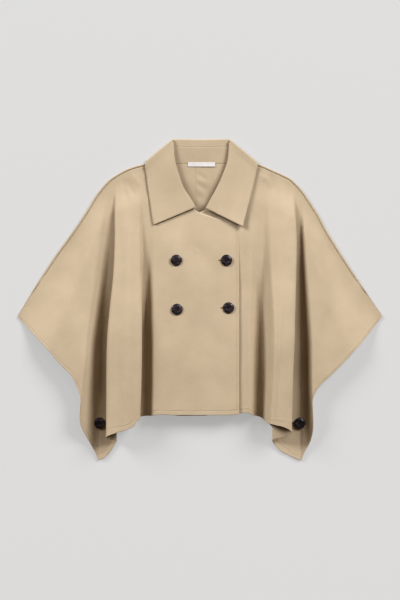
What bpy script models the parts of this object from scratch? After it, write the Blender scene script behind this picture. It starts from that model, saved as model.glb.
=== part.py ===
"""A double-breasted trench cape, laid flat on a surface.

The back lies flat. The two fronts lie over it, and drop into troughs and stand up in ridges.
Every piece of cloth is a wall round a grid of points, worked out from the tables below.
The x axis points to the viewer's right, y to the neck and z up. Lengths are in millimetres
until a piece is made.
"""

import math
from collections import namedtuple

import bmesh
import bpy
import numpy as np
from mathutils import Vector
from mathutils.bvhtree import BVHTree

MM = 0.001

# Cloth and clearances
cloth = 1.6
seam_gap = 0.3
layer_gap = 1.0

# The back and its wrapped shoulder seam
back_height = 0.8
wrap_radius = 2.2
wrap_return = 2.6
wrap_turns = (1, 0.75, 0.5, 0.25)
wrap_start = 108.0
wrap_end = 440.0
centre_back_x = -13.0
back_inset = 3.2
back_rows = (0, 0.035, 0.08, 0.14, 0.22, 0.34, 0.5, 0.66, 0.83, 1)
back_columns = 24
neck_columns = 4
neck_straight = 74.0
curl_start = 25.0
neck_edge_drop = 0.4
wing_edge_turn = 0.08
wing_edge_rise = 1.0
back_corner = (455.5, -37.5)

# The collar, lying underneath, lifts the back and all that lies on it
collar_lift = 2.4
lift_start_y = 250.0
lift_rise = 55.0
lift_half_width = 225.0
lift_fade = 70.0

# Sizes of the fronts
wrap_width = 97.0
pillow_start = 9.0
pillow_reach = 90.0
crown_top_y = 250.0
crown_rise = 160.0
lean_start = 20.0
lean_reach = 110.0
lap_inset = 4.4
slope_reach = 6.0
drop_start = 4.0
drop_fade = 26.0
drop_top_y = 290.0
drop_rise = 50.0
wing_meet = 0.375
wing_start = 230.0
wing_widening = 60.0
wing_pillow = 60.0
wing_fade = 0.6
foot_steepness = 0.97
front_rows = 23
shoulder_neck = 84.0
far_reach = 453.0

# Buttons
button_diameter = 28.0
button_thickness = 4.2
button_rim = 3.4
button_hollow = 1.3
hole_diameter = 2.4
hole_spacing = 5.6

# Heights along the garment at which the folds are measured, from the shoulder to the hem
station_y = (300.0, 110.0, -100.0, -330.0)

Wall = namedtuple("Wall", "name centre half lean round columns")
Span = namedtuple("Span", "name level crown columns")
Panel = namedtuple("Panel", "side spans walls shoulder neckline hem opening")
Line = namedtuple("Line", "roll_x roll_y roll_z edge_x edge_y standoff neck_x neck_y")

# Across a front, from its front edge outwards, spans and walls take turns. A span is level
# at the four stations, with a crown in its middle. A wall joins two spans: centre is its
# distance from the garment's middle, half its half width, lean how far it overhangs, and
# round how far it is a rounded shoulder over a steep foot in place of an even slope.
left_spans = (
    Span("centre", (10, 26, 35, 34), 3, 9),
    Span("inner_trough", (10, 20, 5.5, 5.5), 0, 1),
    Span("ridge", (11, 35, 56, 53), 5, 5),
    Span("outer_trough", (8, 8, 4.5, 4.2), 0, 2),
    Span("wing", (10, 24, 33, 30), 0, 7),
)
left_walls = (
    Wall("inner_fall", (120, 122, 124, 125), (12, 13, 16.5, 17), (0, 0, 0, 0), 0.8, 6),
    Wall("inner_rise", (146, 147, 149, 153), (11, 9, 4.5, 6), (0, 0, 1, 1), 0.0, 5),
    Wall("outer_fall", (215, 210, 218, 221.5), (8, 9, 10, 11), (3, 8, 17, 17), 0.0, 9),
    Wall("wing_rise", (238, 244, 261, 286), (12, 16, 15, 12), (0, 0, 0, 0), 0.8, 6),
)
right_spans = (
    Span("centre", (10, 26, 33, 31), 3, 9),
    Span("inner_trough", (10, 22, 5.5, 5.5), 0, 1),
    Span("ridge", (11, 35, 58, 55), 1.5, 5),
    Span("outer_trough", (8, 8, 4.5, 4.2), 0, 2),
    Span("wing", (10, 26, 33, 30), 0, 7),
)
right_walls = (
    Wall("inner_fall", (130, 134, 136, 132), (12, 12, 12, 10.5), (0, 0, 0, 0), 0.4, 6),
    Wall("inner_rise", (168, 168, 170, 160), (13, 16, 17, 11.5), (0, 0, 0, 0), 0.7, 6),
    Wall("outer_fall", (238, 234, 220.5, 204.5), (8, 12, 14, 16), (4, 12, 20, 31), 0.0, 9),
    Wall("wing_rise", (257, 260, 269, 271), (8, 10, 14.5, 4), (0, 0, 0, 0), 0.8, 6),
)
# How high each wing lies at its outer edge, at the stations, by side
wing_edge = {-1: (8, 16, 33, 34), 1: (8, 12, 16, 17)}

# Outlines, as distance from the middle and y, each from the neck or the hem outwards.
left_shoulder = (
    (0, 358), (84, 353), (137.5, 341.5), (180.5, 329), (219, 308), (235.5, 294), (260, 264),
    (283, 226.5), (321, 169.5), (364.5, 109.5), (418.5, 25.5), (457.5, -41),
)
right_shoulder = (
    (0, 358), (84, 353), (144, 341.5), (179, 327), (222.5, 307), (231, 301.5), (255, 276.5),
    (271, 254.5), (300, 209), (316, 177.5), (365, 99), (411, 29), (457.5, -41),
)
left_neckline = ((-97, 180), (-39, 204), (11, 223), (35, 250), (68, 290), (80, 325), (84, 353))
right_neckline = ((-93, 178), (-39, 200), (-11, 214), (13, 226), (37, 252), (68, 290), (80, 325),
                  (84, 353))
left_hem = (
    (-103, -283.5), (-97, -286), (-75, -288), (59, -288.5), (97, -287), (120, -289.5),
    (150, -293), (158, -302), (163, -313), (184, -324.5), (209.5, -332), (215.5, -342),
    (221.5, -350), (227.5, -358), (233.5, -391), (243, -398), (254, -402.5),
)
right_hem = (
    (-93, -283.5), (103, -283.5), (121, -282.5), (128.5, -288), (147, -292), (158, -298),
    (166, -307), (189, -313), (196.5, -329), (204.5, -345), (212.5, -355), (220.5, -388),
    (232.5, -395), (253.5, -404),
)
left_back_hem = [
    (-13, -291), (8, -291), (60, -291), (75, -288), (120, -286), (156, -296), (184, -320),
    (207, -328), (214, -345), (222, -377), (251, -399),
]
right_back_hem = [
    (13, -291), (60, -285), (128, -282), (150, -290), (165, -303), (185, -325), (190, -350),
    (198, -365), (225, -386), (251, -400),
]
left_opening = (
    (254, -402.5), (265.5, -378.5), (291, -330), (299, -308), (299, -275), (297.5, -256),
    (300, -236), (320, -191), (347, -163.5), (385, -119.5), (420, -83.5), (453, -47.5),
)
right_opening = (
    (253.5, -404), (261, -385), (275, -358.5), (281.5, -335), (283, -310), (280.5, -262.5),
    (282, -247), (296, -219.5), (332.5, -183), (360, -156), (410, -101), (453, -47.5),
)

left_panel = Panel(-1, left_spans, left_walls, left_shoulder, left_neckline, left_hem, left_opening)
right_panel = Panel(
    1, right_spans, right_walls, right_shoulder, right_neckline, right_hem, right_opening
)

# The collar, as lines across it from the front corner to the shoulder. Each runs from the
# neckline over the roll line to the outer edge, which stands off the front by standoff.
left_collar = (
    Line(-11, 231, 21, -115.5, 187.5, 2.0, -18, 226),
    Line(-21, 250, 20, -118, 198, 2.0, -33, 246),
    Line(-41, 281.5, 18, -124, 238, 2.0, -60, 276),
    Line(-61, 341.5, 15, -131, 285, 2.0, -80, 322),
    Line(-65.5, 380, 12, -135.5, 320, 2.0, -74, 372),
    Line(-66, 396, 11, -138, 335.5, 3.0, -73, 386),
)
right_collar = (
    Line(14, 229, 24, 107, 183, 12.0, 22, 225),
    Line(23, 247, 22, 110.5, 197, 9.0, 36, 243),
    Line(43, 283, 19, 121, 238, 4.0, 61, 277),
    Line(67, 341.5, 15, 133, 285, 2.5, 81, 322),
    Line(72, 380, 12, 141, 320, 2.0, 80, 372),
    Line(72, 395, 11, 144, 334.5, 3.0, 79, 386),
)
# Where the collar folds round the shoulder, from the back of the roll line to its outer edge
left_fold = ((-66.0, 401.5), (-134.5, 345.5))
right_fold = ((72.0, 400.5), (140.5, 344.5))
fold_turns = (15, 40, 65, 90, 115, 140, 165)
fold_bulge = 0.55
roll_radius = 1.8
roll_turns = (180, 135, 90, 45, 0)
inner_columns = len(roll_turns)
edge_shares = (0.2, 0.45, 0.72, 1)
back_lines = (0.07, 0.2, 0.35, 0.5, 0.65, 0.8, 0.93)
back_roll_y = 403.5
back_roll_dip = 1.0
fall_edge_dip = 14.0
stand_seam_y = 383.5
neck_seam_y = 341.5
stand_centre_x = 3.0
stand_top_width = 130.0
stand_neck_width = 138.0

# Front buttons as x and y, from the top left across, then the two underarm buttons
front_buttons = ((-59.25, 98.5), (66.25, 98.5), (-57.5, -24.25), (71.25, -20.5))
side_buttons = (("right", -251.0, -310.0), ("left", 250.0, -310.0))
label_centre = (4.0, 339.2)
label_size = (68.0, 10.8)
label_height = 5.2
label_thickness = 1.0


def smooth(value):
    value = min(max(value, 0.0), 1.0)
    return value * value * (3 - 2 * value)


def along(values, y):
    """A value at height y, on a smooth curve through its values at the four stations."""
    heights = station_y
    y = min(max(y, heights[-1]), heights[0])
    index = next(i for i in range(len(heights) - 1) if y >= heights[i + 1])
    before = values[max(index - 1, 0)]
    after = values[min(index + 2, len(values) - 1)]
    start, end = values[index], values[index + 1]
    t = (heights[index] - y) / (heights[index] - heights[index + 1])
    square = 2 * before - 5 * start + 4 * end - after
    cube = 3 * (start - end) - before + after
    return start + 0.5 * t * (end - before + t * (square + t * cube))


def at(outline, s):
    """The y of an outline at a distance from the middle."""
    return float(np.interp(s, [point[0] for point in outline], [point[1] for point in outline]))


def path_length(outline):
    return float(np.linalg.norm(np.diff(np.array(outline, float), axis=0), axis=1).sum())


def on_path(outline, fraction):
    """The point at a fraction of an outline's length."""
    points = np.array(outline, float)
    lengths = np.concatenate([[0], np.cumsum(np.linalg.norm(np.diff(points, axis=0), axis=1))])
    want = fraction * lengths[-1]
    return np.array([np.interp(want, lengths, points[:, axis]) for axis in (0, 1)])


def lift(x, y):
    """How far the collar lifts the cloth over it."""
    rise = smooth((y - lift_start_y) / lift_rise)
    return collar_lift * rise * smooth((lift_half_width - abs(x)) / lift_fade)


def seam_height(x, y):
    """The height of the fronts at the shoulder, where their edge lies in the back's wrap."""
    return back_height + wrap_radius + lift(x, y)


def front_top(panel, s):
    """The y at which a line that runs down a front starts."""
    if s <= shoulder_neck:
        return at(panel.neckline, s)
    rise = at(panel.shoulder, s + slope_reach) - at(panel.shoulder, s - slope_reach)
    slope = rise / (2 * slope_reach)
    return at(panel.shoulder, s) - lap_inset * math.hypot(1, slope)


def wall_line(panel, index, t, y):
    """The base and the true plan position of a wall, t from -1 at its inner end to 1."""
    wall = panel.walls[index]
    flat = along(wall.centre, y) + along(wall.half, y) * t
    below = at(panel.shoulder, along(wall.centre, y)) - lean_start - y
    lean = along(wall.lean, y) * smooth(below / lean_reach)
    return flat, flat - lean * math.sin(math.pi * t)


def wall_share(wall, t):
    """How much of a wall's change of height is done at t."""
    even = (1 + t + math.sin(math.pi * t) / math.pi) / 2
    is_rise = wall.name.endswith("rise")
    down = (1 - t) / 2 if is_rise else (1 + t) / 2
    rounded = 1 - math.sqrt(1 - foot_steepness * down * down)
    rounded /= 1 - math.sqrt(1 - foot_steepness)
    if is_rise:
        rounded = 1 - rounded
    return even + (rounded - even) * wall.round


def wall_steps(wall):
    """The places of a wall's columns, from -1 to 1, closer together at a steep foot."""
    if not wall.round:
        return np.linspace(-1, 1, wall.columns)
    down = 2 * np.sin(np.linspace(0, math.pi / 2, wall.columns)) - 1
    return -down[::-1] if wall.name.endswith("rise") else down


def wall_height(panel, index, t, y):
    start = along(panel.spans[index].level, y)
    end = along(panel.spans[index + 1].level, y)
    return start + (end - start) * wall_share(panel.walls[index], t)


def span_height(panel, index, f, y):
    span = panel.spans[index]
    fade = smooth((crown_top_y - y) / crown_rise)
    level = along(span.level, y)
    if span.name == "wing":
        level += (along(wing_edge[panel.side], y) - level) * smooth(f / wing_fade)
    return level + span.crown * fade * (1 - math.cos(2 * math.pi * f)) / 2


def pillowed(panel, s, y, height):
    """Brings a height down to the seam along the shoulder and the top of the wing."""
    seam = seam_height(panel.side * s, y)
    below = at(panel.shoulder, max(s, 0)) - pillow_start - y
    reach = pillow_reach + wing_pillow * smooth((s - wing_start) / wing_widening)
    return seam + (height - seam) * smooth(below / reach)


def front_height(panel, s, y):
    """The height of a front's middle layer over a point of its centre or its wing."""
    inner = wall_line(panel, 0, -1, y)[0]
    if s <= inner:
        f = (s + wrap_width) / (inner + wrap_width)
        return pillowed(panel, s, y, span_height(panel, 0, f, y))
    for index in range(len(panel.walls)):
        start = wall_line(panel, index, -1, y)[0]
        end = wall_line(panel, index, 1, y)[0]
        if start <= s <= end:
            t = 2 * (s - start) / (end - start) - 1
            return pillowed(panel, s, y, wall_height(panel, index, t, y))
        is_last = index == len(panel.walls) - 1
        after = far_reach if is_last else wall_line(panel, index + 1, -1, y)[0]
        if end < s < after:
            f = (s - end) / (after - end)
            return pillowed(panel, s, y, span_height(panel, index + 1, f, y))
    return seam_height(panel.side * s, y)


def columns_of(panel):
    """The lines that run down a front, as (kind, number, place on it), from the front edge."""
    found = [("span", 0, f) for f in np.linspace(0, 1, panel.spans[0].columns + 1)[:-1]]
    for index, wall in enumerate(panel.walls):
        found += [("wall", index, t) for t in wall_steps(wall)]
        span = panel.spans[index + 1]
        steps = np.linspace(0, 1, span.columns + 1)
        inner = steps[1:] if index == len(panel.walls) - 1 else steps[1:-1]
        found += [("span", index + 1, f) for f in inner]
    return found


def column_line(panel, column, y):
    """The base and the true plan position of a column that runs down at height y."""
    kind, index, place = column
    if kind == "wall":
        return wall_line(panel, index, place, y)
    start = -wrap_width if index == 0 else wall_line(panel, index - 1, 1, y)[0]
    if index < len(panel.walls):
        end = wall_line(panel, index, -1, y)[0]
    else:
        end = far_reach
    flat = start + (end - start) * place
    return flat, flat


def column_ends(panel, column):
    """The top and the bottom of a column, on the base plan."""
    kind, index, place = column
    last = len(panel.walls) - 1
    top_y = 150.0
    for _ in range(30):
        s = column_line(panel, column, top_y)[0]
        top_y += 0.5 * (front_top(panel, s) - top_y)
    top = (column_line(panel, column, top_y)[0], top_y)
    if kind == "wall" and index == last:
        bottom = on_path(panel.opening, wing_meet * (place + 1) / 2)
        return top, bottom
    if kind == "span" and index == last + 1:
        bottom = on_path(panel.opening, wing_meet + (1 - wing_meet) * place)
        return top, bottom
    if kind == "span" and index == last:
        start = wall_line(panel, last - 1, 1, -390)[0]
        s = start + (panel.hem[-1][0] - start) * place
        return top, (s, at(panel.hem, s))
    y = -320.0
    for _ in range(30):
        s = column_line(panel, column, y)[0]
        y += 0.5 * (at(panel.hem, s) - y)
    return top, (s, y)


def front_grid(panel, drop=None):
    """The middle layer of a front: rows from top to bottom, columns from its front edge."""
    columns = columns_of(panel)
    grid = np.empty((front_rows, len(columns), 3))
    for c, column in enumerate(columns):
        top, bottom = column_ends(panel, column)
        top_shift = top[0] - column_line(panel, column, top[1])[0]
        bottom_shift = bottom[0] - column_line(panel, column, bottom[1])[0]
        is_wing = column[0] == "span" and column[1] == len(panel.walls)
        for r in range(front_rows):
            v = r / (front_rows - 1)
            y = top[1] + (bottom[1] - top[1]) * v
            if is_wing:
                flat = true = top[0] + (bottom[0] - top[0]) * v
            else:
                flat, true = column_line(panel, column, y)
                shift = top_shift * (1 - v) ** 3 + bottom_shift * v**5
                flat, true = flat + shift, true + shift
            if column[0] == "wall":
                height = wall_height(panel, column[1], column[2], y)
            else:
                height = span_height(panel, column[1], column[2], y)
            height = pillowed(panel, flat, y, height)
            if drop:
                height -= drop(flat, y)
            grid[r, c] = panel.side * true, y, height
    return grid


def under_drop(s, y):
    """How far the under front lies below the top one, which covers it up to its front edge."""
    fade = 1 - smooth((s - wrap_width - drop_start) / drop_fade)
    return (cloth + layer_gap) * fade * smooth((drop_top_y - y) / drop_rise)


def back_grid(panel, hem):
    """Half of the back, and which of its faces are kept.

    It lies flat. From under the collar outwards, its shoulder edge curls up and over the
    front's edge. Beside the neck that curl is left off.
    """
    start = panel.side * centre_back_x + seam_gap / 2
    neck_y = neck_seam_y - neck_edge_drop
    neck = [(start, neck_y), (neck_straight, neck_y)]
    shoulder = [(shoulder_neck, 352)]
    shoulder += [point for point in panel.shoulder if shoulder_neck < point[0] < far_reach]
    shoulder.append(back_corner)
    edge = neck + shoulder
    # The wing's lower edge lies inside the front's, and never turns back towards the middle.
    outline = []
    for s, y in panel.opening[:0:-1]:
        s -= back_inset
        if outline:
            s = min(s, outline[0][0] - wing_edge_turn * (outline[0][1] - y))
        outline.insert(0, (s, y + wing_edge_rise))
    outline = hem + outline
    curl = [(1, wrap_return)] + [(turn, 0) for turn in wrap_turns]
    grid = np.empty((len(curl) + len(back_rows), back_columns, 3))
    keep = np.ones((len(grid) - 1, back_columns - 1), bool)
    for c in range(back_columns):
        if c < neck_columns:
            s = start + (neck_straight - start) * c / (neck_columns - 1)
            share = (s - start) / path_length(edge)
        else:
            share = (path_length(neck) + path_length([neck[1], shoulder[0]])) / path_length(edge)
            share += (1 - share) * (c - neck_columns) / (back_columns - 1 - neck_columns)
        top = on_path(edge, share)
        ahead = on_path(edge, min(share + 0.01, 1)) - on_path(edge, max(share - 0.01, 0))
        outward = np.array([-ahead[1], ahead[0]]) / np.linalg.norm(ahead)
        curled = smooth((top[0] - shoulder_neck) / curl_start)
        curled *= smooth((back_corner[0] - top[0]) / curl_start)
        base = top - outward * (wrap_radius + cloth / 2) * curled
        bottom = on_path(outline, share)
        for r, (turn, reach) in enumerate(curl):
            angle = math.pi * turn
            place = base + outward * (wrap_radius * math.sin(angle) + reach * math.cos(angle))
            grid[r, c] = panel.side * place[0], place[1], wrap_radius * (1 - math.cos(angle))
        for r, v in enumerate(back_rows):
            place = base + (bottom - base) * v
            grid[len(curl) + r, c] = panel.side * place[0], place[1], 0
        if top[0] < wrap_start:
            keep[:len(curl), c] = False
        if top[0] > wrap_end:
            keep[:len(curl), c - 1:] = False
    for point in grid.reshape(-1, 3):
        point[2] += back_height + lift(point[0], point[1])
    return grid, keep


def collar_line(roll, edge, under, seam):
    """A line across the fall: from its inner edge, round the roll line, to the outer edge.

    The inner layer lies under the outer one on the fronts, and over it at the back.
    """
    roll, edge = Vector(roll), Vector(edge)
    ahead = (roll - edge).normalized()
    bend = roll - ahead * (roll_radius + cloth / 2)
    inward = Vector((0, 0, -2 * roll_radius if under else 2 * roll_radius))
    points = [Vector(seam)]
    for angle in np.radians(roll_turns):
        aside = inward * (1 - math.cos(angle)) / 2
        points.append(bend + aside + ahead * roll_radius * math.sin(angle))
    points += [bend.lerp(edge, share) for share in edge_shares]
    return points


def collar_side(panel, lines, fold):
    """The lines across one side of the fall, from its front corner to behind the shoulder."""
    found = []
    for line in lines:
        front = front_height(panel, abs(line.edge_x), line.edge_y)
        edge = (line.edge_x, line.edge_y, front + cloth + layer_gap + line.standoff)
        roll = (line.roll_x, line.roll_y, line.roll_z)
        front = front_height(panel, abs(line.neck_x), line.neck_y)
        seam_z = min(front + cloth + layer_gap, line.roll_z - 2 * roll_radius + 0.2)
        seam = (line.neck_x, line.neck_y, seam_z)
        found.append(collar_line(roll, edge, True, seam))
    peak, point = (Vector((*place, 0)) for place in fold)
    outward = (point - peak).cross(Vector((0, 0, -panel.side))).normalized()
    for turn in fold_turns:
        angle = math.radians(turn)
        ends = []
        for place, top in ((peak, roll[2]), (point, edge[2])):
            radius = (top - back_height) / 2
            aside = outward * radius * fold_bulge * math.sin(angle)
            ends.append(place + aside + Vector((0, 0, back_height + radius * (1 + math.cos(angle)))))
        aside = panel.side * (180 - turn) / 10
        seam = Vector((peak.x + aside, stand_seam_y, back_height + 2 * roll_radius))
        if turn < 90:
            seam = found[len(lines) - 1][0] + Vector((0, turn / 10, 0))
        found.append(collar_line(*ends, turn < 90, seam))
    return found


def collar_grid():
    """The middle layer of the fall, a row for each line across it, and its kept faces."""
    left = collar_side(left_panel, left_collar, left_fold)
    right = collar_side(right_panel, right_collar, right_fold)
    back = []
    for share in back_lines:
        dip = math.sin(math.pi * share)
        roll_x = left_fold[0][0] + (right_fold[0][0] - left_fold[0][0]) * share
        edge_x = left_fold[1][0] + (right_fold[1][0] - left_fold[1][0]) * share
        roll = (roll_x, back_roll_y - back_roll_dip * dip, back_height)
        edge = (edge_x, left_fold[1][1] - 3 - fall_edge_dip * dip, back_height)
        seam = (roll_x, stand_seam_y, back_height + 2 * roll_radius)
        back.append(collar_line(roll, edge, False, seam))
    lines = left + back + right[::-1]
    grid = smooth_lines(lines)
    # The inner layer is left off where the collar turns round the shoulder.
    keep = np.ones((len(grid) - 1, grid.shape[1] - 1), bool)
    keep[2 * (len(left_collar) - 1):2 * len(left), :inner_columns] = False
    behind = len(left + back) - 1
    keep[2 * behind:2 * (len(lines) - len(right_collar)), :inner_columns] = False
    return grid, keep


def stand_grid():
    """The middle layer of the stand, from the fall's inner edge down to the neck seam."""
    rows = []
    for share in np.linspace(0, 1, 4):
        y = stand_seam_y - seam_gap + (neck_seam_y + 2 * seam_gap - stand_seam_y) * share
        high = back_height + 2 * roll_radius
        z = high + (back_height + collar_lift - high) * share
        half = stand_top_width + (stand_neck_width - stand_top_width) * share
        rows.append([(stand_centre_x + half * across, y, z) for across in np.linspace(-0.5, 0.5, 9)])
    return np.array(rows)


def smooth_lines(lines):
    """The lines with one more between each two, on a smooth curve through them all."""
    lines = np.array([[tuple(point) for point in line] for line in lines])
    found = [lines[0]]
    for index in range(len(lines) - 1):
        before = lines[max(index - 1, 0)]
        after = lines[min(index + 2, len(lines) - 1)]
        start, end = lines[index], lines[index + 1]
        gap = np.linalg.norm(end - start, axis=1, keepdims=True)
        leave = (end - before) / np.linalg.norm(end - before, axis=1, keepdims=True)
        reach = (after - start) / np.linalg.norm(after - start, axis=1, keepdims=True)
        middle = (start + end) / 2 + (leave - reach) * gap / 8
        middle[:, 2] = np.maximum(middle[:, 2], back_height)
        found += [middle, end]
    return np.array(found)


def make_material(name, colour, roughness, metallic=0.0):
    material = bpy.data.materials.new(name)
    material.use_nodes = True
    shader = material.node_tree.nodes["Principled BSDF"]
    shader.inputs["Base Color"].default_value = (*colour, 1.0)
    shader.inputs["Roughness"].default_value = roughness
    shader.inputs["Metallic"].default_value = metallic
    material.diffuse_color = (*colour, 1.0)
    return material


def add_object(name, mesh, material):
    piece = bpy.data.objects.new(name, mesh)
    bpy.context.scene.collection.objects.link(piece)
    mesh.materials.append(material)
    return piece


def directions(grid, axis):
    """The direction of a grid's lines at each point, halfway between its two neighbours'."""
    steps = np.diff(grid, axis=axis)
    steps /= np.linalg.norm(steps, axis=2, keepdims=True)
    ends = [(0, 0)] * 3
    ends[axis] = (1, 0)
    before = np.pad(steps, ends, mode="edge")
    ends[axis] = (0, 1)
    return before + np.pad(steps, ends, mode="edge")


def add_sheet(name, grid, thickness, material, keep=None):
    """A closed wall of even thickness round a grid of middle points, over its kept faces."""
    rows, columns, _ = grid.shape
    normal = np.cross(directions(grid, 1), directions(grid, 0))
    normal /= np.linalg.norm(normal, axis=2, keepdims=True)
    shape = bmesh.new()
    layers = []
    for sign in (0.5, -0.5):
        moved = (grid + normal * thickness * sign) * MM
        layers.append([shape.verts.new(point) for point in moved.reshape(-1, 3)])
    outer, inner = layers
    sides = set()
    for r in range(rows - 1):
        for c in range(columns - 1):
            if keep is not None and not keep[r, c]:
                continue
            first = r * columns + c
            corners = (first, first + 1, first + columns + 1, first + columns)
            shape.faces.new([outer[corner] for corner in corners])
            shape.faces.new([inner[corner] for corner in reversed(corners)])
            for side in zip(corners, corners[1:] + corners[:1]):
                if side[::-1] in sides:
                    sides.remove(side[::-1])
                else:
                    sides.add(side)
    for here, there in sorted(sides):
        shape.faces.new((outer[here], inner[here], inner[there], outer[there]))
    loose = [vertex for vertex in shape.verts if not vertex.link_faces]
    bmesh.ops.delete(shape, geom=loose, context="VERTS")
    bmesh.ops.recalc_face_normals(shape, faces=shape.faces)
    mesh = bpy.data.meshes.new(name)
    shape.to_mesh(mesh)
    shape.free()
    mesh.shade_smooth()
    return add_object(name, mesh, material)


def add_button(name, mesh, material, x, y, z):
    button = add_object(name, mesh, material)
    button.location = Vector((x, y, z)) * MM
    return button


def button_mesh():
    """A button: a turned disc with a raised rim and a hollow middle, cut through by four holes."""
    radius = button_diameter / 2
    profile = (
        (0, 0), (radius - 1.6, 0), (radius, 1.4), (radius - 0.5, button_thickness - 0.6),
        (radius - 1.7, button_thickness), (radius - button_rim, button_thickness - button_hollow),
        (0, button_thickness - button_hollow - 0.3),
    )
    shape = bmesh.new()
    points = [shape.verts.new((r * MM, 0, z * MM)) for r, z in profile]
    edges = [shape.edges.new(pair) for pair in zip(points, points[1:])]
    bmesh.ops.spin(
        shape, geom=points + edges, cent=(0, 0, 0), axis=(0, 0, 1), angle=2 * math.pi, steps=24,
    )
    bmesh.ops.remove_doubles(shape, verts=shape.verts, dist=1e-5)
    bmesh.ops.recalc_face_normals(shape, faces=shape.faces)
    mesh = bpy.data.meshes.new("button")
    shape.to_mesh(mesh)
    shape.free()
    disc = bpy.data.objects.new("button_disc", mesh)
    cutter = bpy.data.objects.new("button_holes", bpy.data.meshes.new("button_holes"))
    shape = bmesh.new()
    for quarter in range(4):
        angle = math.pi / 4 + quarter * math.pi / 2
        reach = hole_spacing / 2 * math.sqrt(2) * MM
        place = Vector((math.cos(angle) * reach, math.sin(angle) * reach, 2 * MM))
        made = bmesh.ops.create_cone(
            shape, cap_ends=True, segments=8, radius1=hole_diameter / 2 * MM,
            radius2=hole_diameter / 2 * MM, depth=10 * MM,
        )
        bmesh.ops.translate(shape, verts=made["verts"], vec=place)
    shape.to_mesh(cutter.data)
    shape.free()
    for piece in (disc, cutter):
        bpy.context.scene.collection.objects.link(piece)
    cutter.hide_render = True
    cutter.display_type = "WIRE"
    cut = disc.modifiers.new("holes", "BOOLEAN")
    cut.object = cutter
    cut.solver = "EXACT"
    bpy.context.view_layer.update()
    graph = bpy.context.evaluated_depsgraph_get()
    finished = bpy.data.meshes.new_from_object(disc.evaluated_get(graph))
    for piece in (disc, cutter):
        bpy.data.objects.remove(piece, do_unlink=True)
    return finished


def resting_height(front, x, y):
    """The height at which a button clears the front's outer side under it."""
    tree = BVHTree.FromPolygons(
        [vertex.co for vertex in front.data.vertices],
        [tuple(face.vertices) for face in front.data.polygons],
    )
    found = []
    for reach in (0.0, 0.5, 1.0):
        for turn in range(16):
            angle = turn * math.pi / 8
            place = Vector((x, y, 90)) * MM
            place += Vector((math.cos(angle), math.sin(angle), 0)) * reach * button_diameter / 2 * MM
            hit = tree.ray_cast(place, Vector((0, 0, -1)))[0]
            found.append(hit.z / MM)
    return max(found) + seam_gap


def main():
    for old in list(bpy.data.objects):
        bpy.data.objects.remove(old, do_unlink=True)
    gabardine = make_material("gabardine", (0.60, 0.48, 0.32), 0.85)
    horn = make_material("horn", (0.020, 0.016, 0.022), 0.28)
    ribbon = make_material("ribbon", (0.86, 0.86, 0.85), 0.7)

    right_front = add_sheet("front_right", front_grid(left_panel), cloth, gabardine)
    left_front = add_sheet("front_left", front_grid(right_panel, under_drop), cloth, gabardine)
    for name, panel, hem in (
        ("back_right", left_panel, left_back_hem),
        ("back_left", right_panel, right_back_hem),
    ):
        grid, keep = back_grid(panel, hem)
        add_sheet(name, grid, cloth, gabardine, keep)
    fall, keep = collar_grid()
    add_sheet("collar_fall", fall, cloth, gabardine, keep)
    add_sheet("collar_stand", stand_grid(), cloth, gabardine)

    across, deep = label_size
    label = np.array([
        [(label_centre[0] + across * i, label_centre[1] - deep * j, label_height) for i in (-0.5, 0.5)]
        for j in (-0.5, 0.5)
    ])
    add_sheet("neck_label", label, label_thickness, ribbon)

    button = button_mesh()
    for number, (x, y) in enumerate(front_buttons, 1):
        height = resting_height(right_front, x, y)
        add_button(f"button_front_{number}", button.copy(), horn, x, y, height)
    for (name, x, y), front in zip(side_buttons, (right_front, left_front)):
        add_button(f"button_side_{name}", button.copy(), horn, x, y, resting_height(front, x, y))


main()
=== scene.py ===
import math
from collections import namedtuple

import bpy
import numpy as np
from mathutils import Matrix, Vector, noise
from mathutils.bvhtree import BVHTree


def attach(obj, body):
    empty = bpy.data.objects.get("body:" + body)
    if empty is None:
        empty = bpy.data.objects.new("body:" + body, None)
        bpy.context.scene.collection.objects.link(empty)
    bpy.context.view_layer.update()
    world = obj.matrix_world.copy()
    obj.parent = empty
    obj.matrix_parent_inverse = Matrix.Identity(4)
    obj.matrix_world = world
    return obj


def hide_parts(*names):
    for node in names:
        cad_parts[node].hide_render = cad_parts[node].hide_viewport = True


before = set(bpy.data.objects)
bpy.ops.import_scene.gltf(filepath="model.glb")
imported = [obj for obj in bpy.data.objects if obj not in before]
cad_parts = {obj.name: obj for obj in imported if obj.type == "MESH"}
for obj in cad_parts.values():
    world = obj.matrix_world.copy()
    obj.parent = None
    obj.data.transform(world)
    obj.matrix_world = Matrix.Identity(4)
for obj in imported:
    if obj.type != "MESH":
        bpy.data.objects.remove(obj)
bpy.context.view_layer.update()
print("frame loaded")

# Lengths are in millimetres until a mesh is made. x points to the viewer's right, y to the neck, z up.
mm = 0.001

clothCut = {
    "thickness": 1.3,
    "seamGap": 0.3,
    "layerGap": 1.0,
    "solidThickness": 1.6,
    "rimReach": 0.8,
    "stationY": (300.0, 110.0, -100.0, -330.0),
}


# Smooth steps and curves


def smooth(value):
    value = np.clip(value, 0.0, 1.0)
    return value * value * (3 - 2 * value)


def unit(vectors):
    # the same ways, with a length of one
    return vectors / (np.linalg.norm(vectors, axis=-1, keepdims=True) + 1e-12)


def along(values, y):
    # a value at height y, on a curve through its values at the four stations
    heights = np.array(clothCut["stationY"])
    y = np.clip(y, heights[-1], heights[0])
    index = np.clip(np.searchsorted(-heights, -y, side="right") - 1, 0, len(heights) - 2)
    padded = np.array((values[0], *values, values[-1]), float)
    before, start, end, after = (padded[index + step] for step in range(4))
    t = (heights[index] - y) / (heights[index] - heights[index + 1])
    square = 2 * before - 5 * start + 4 * end - after
    cube = 3 * (start - end) - before + after
    return start + 0.5 * t * (end - before + t * (square + t * cube))


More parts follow.
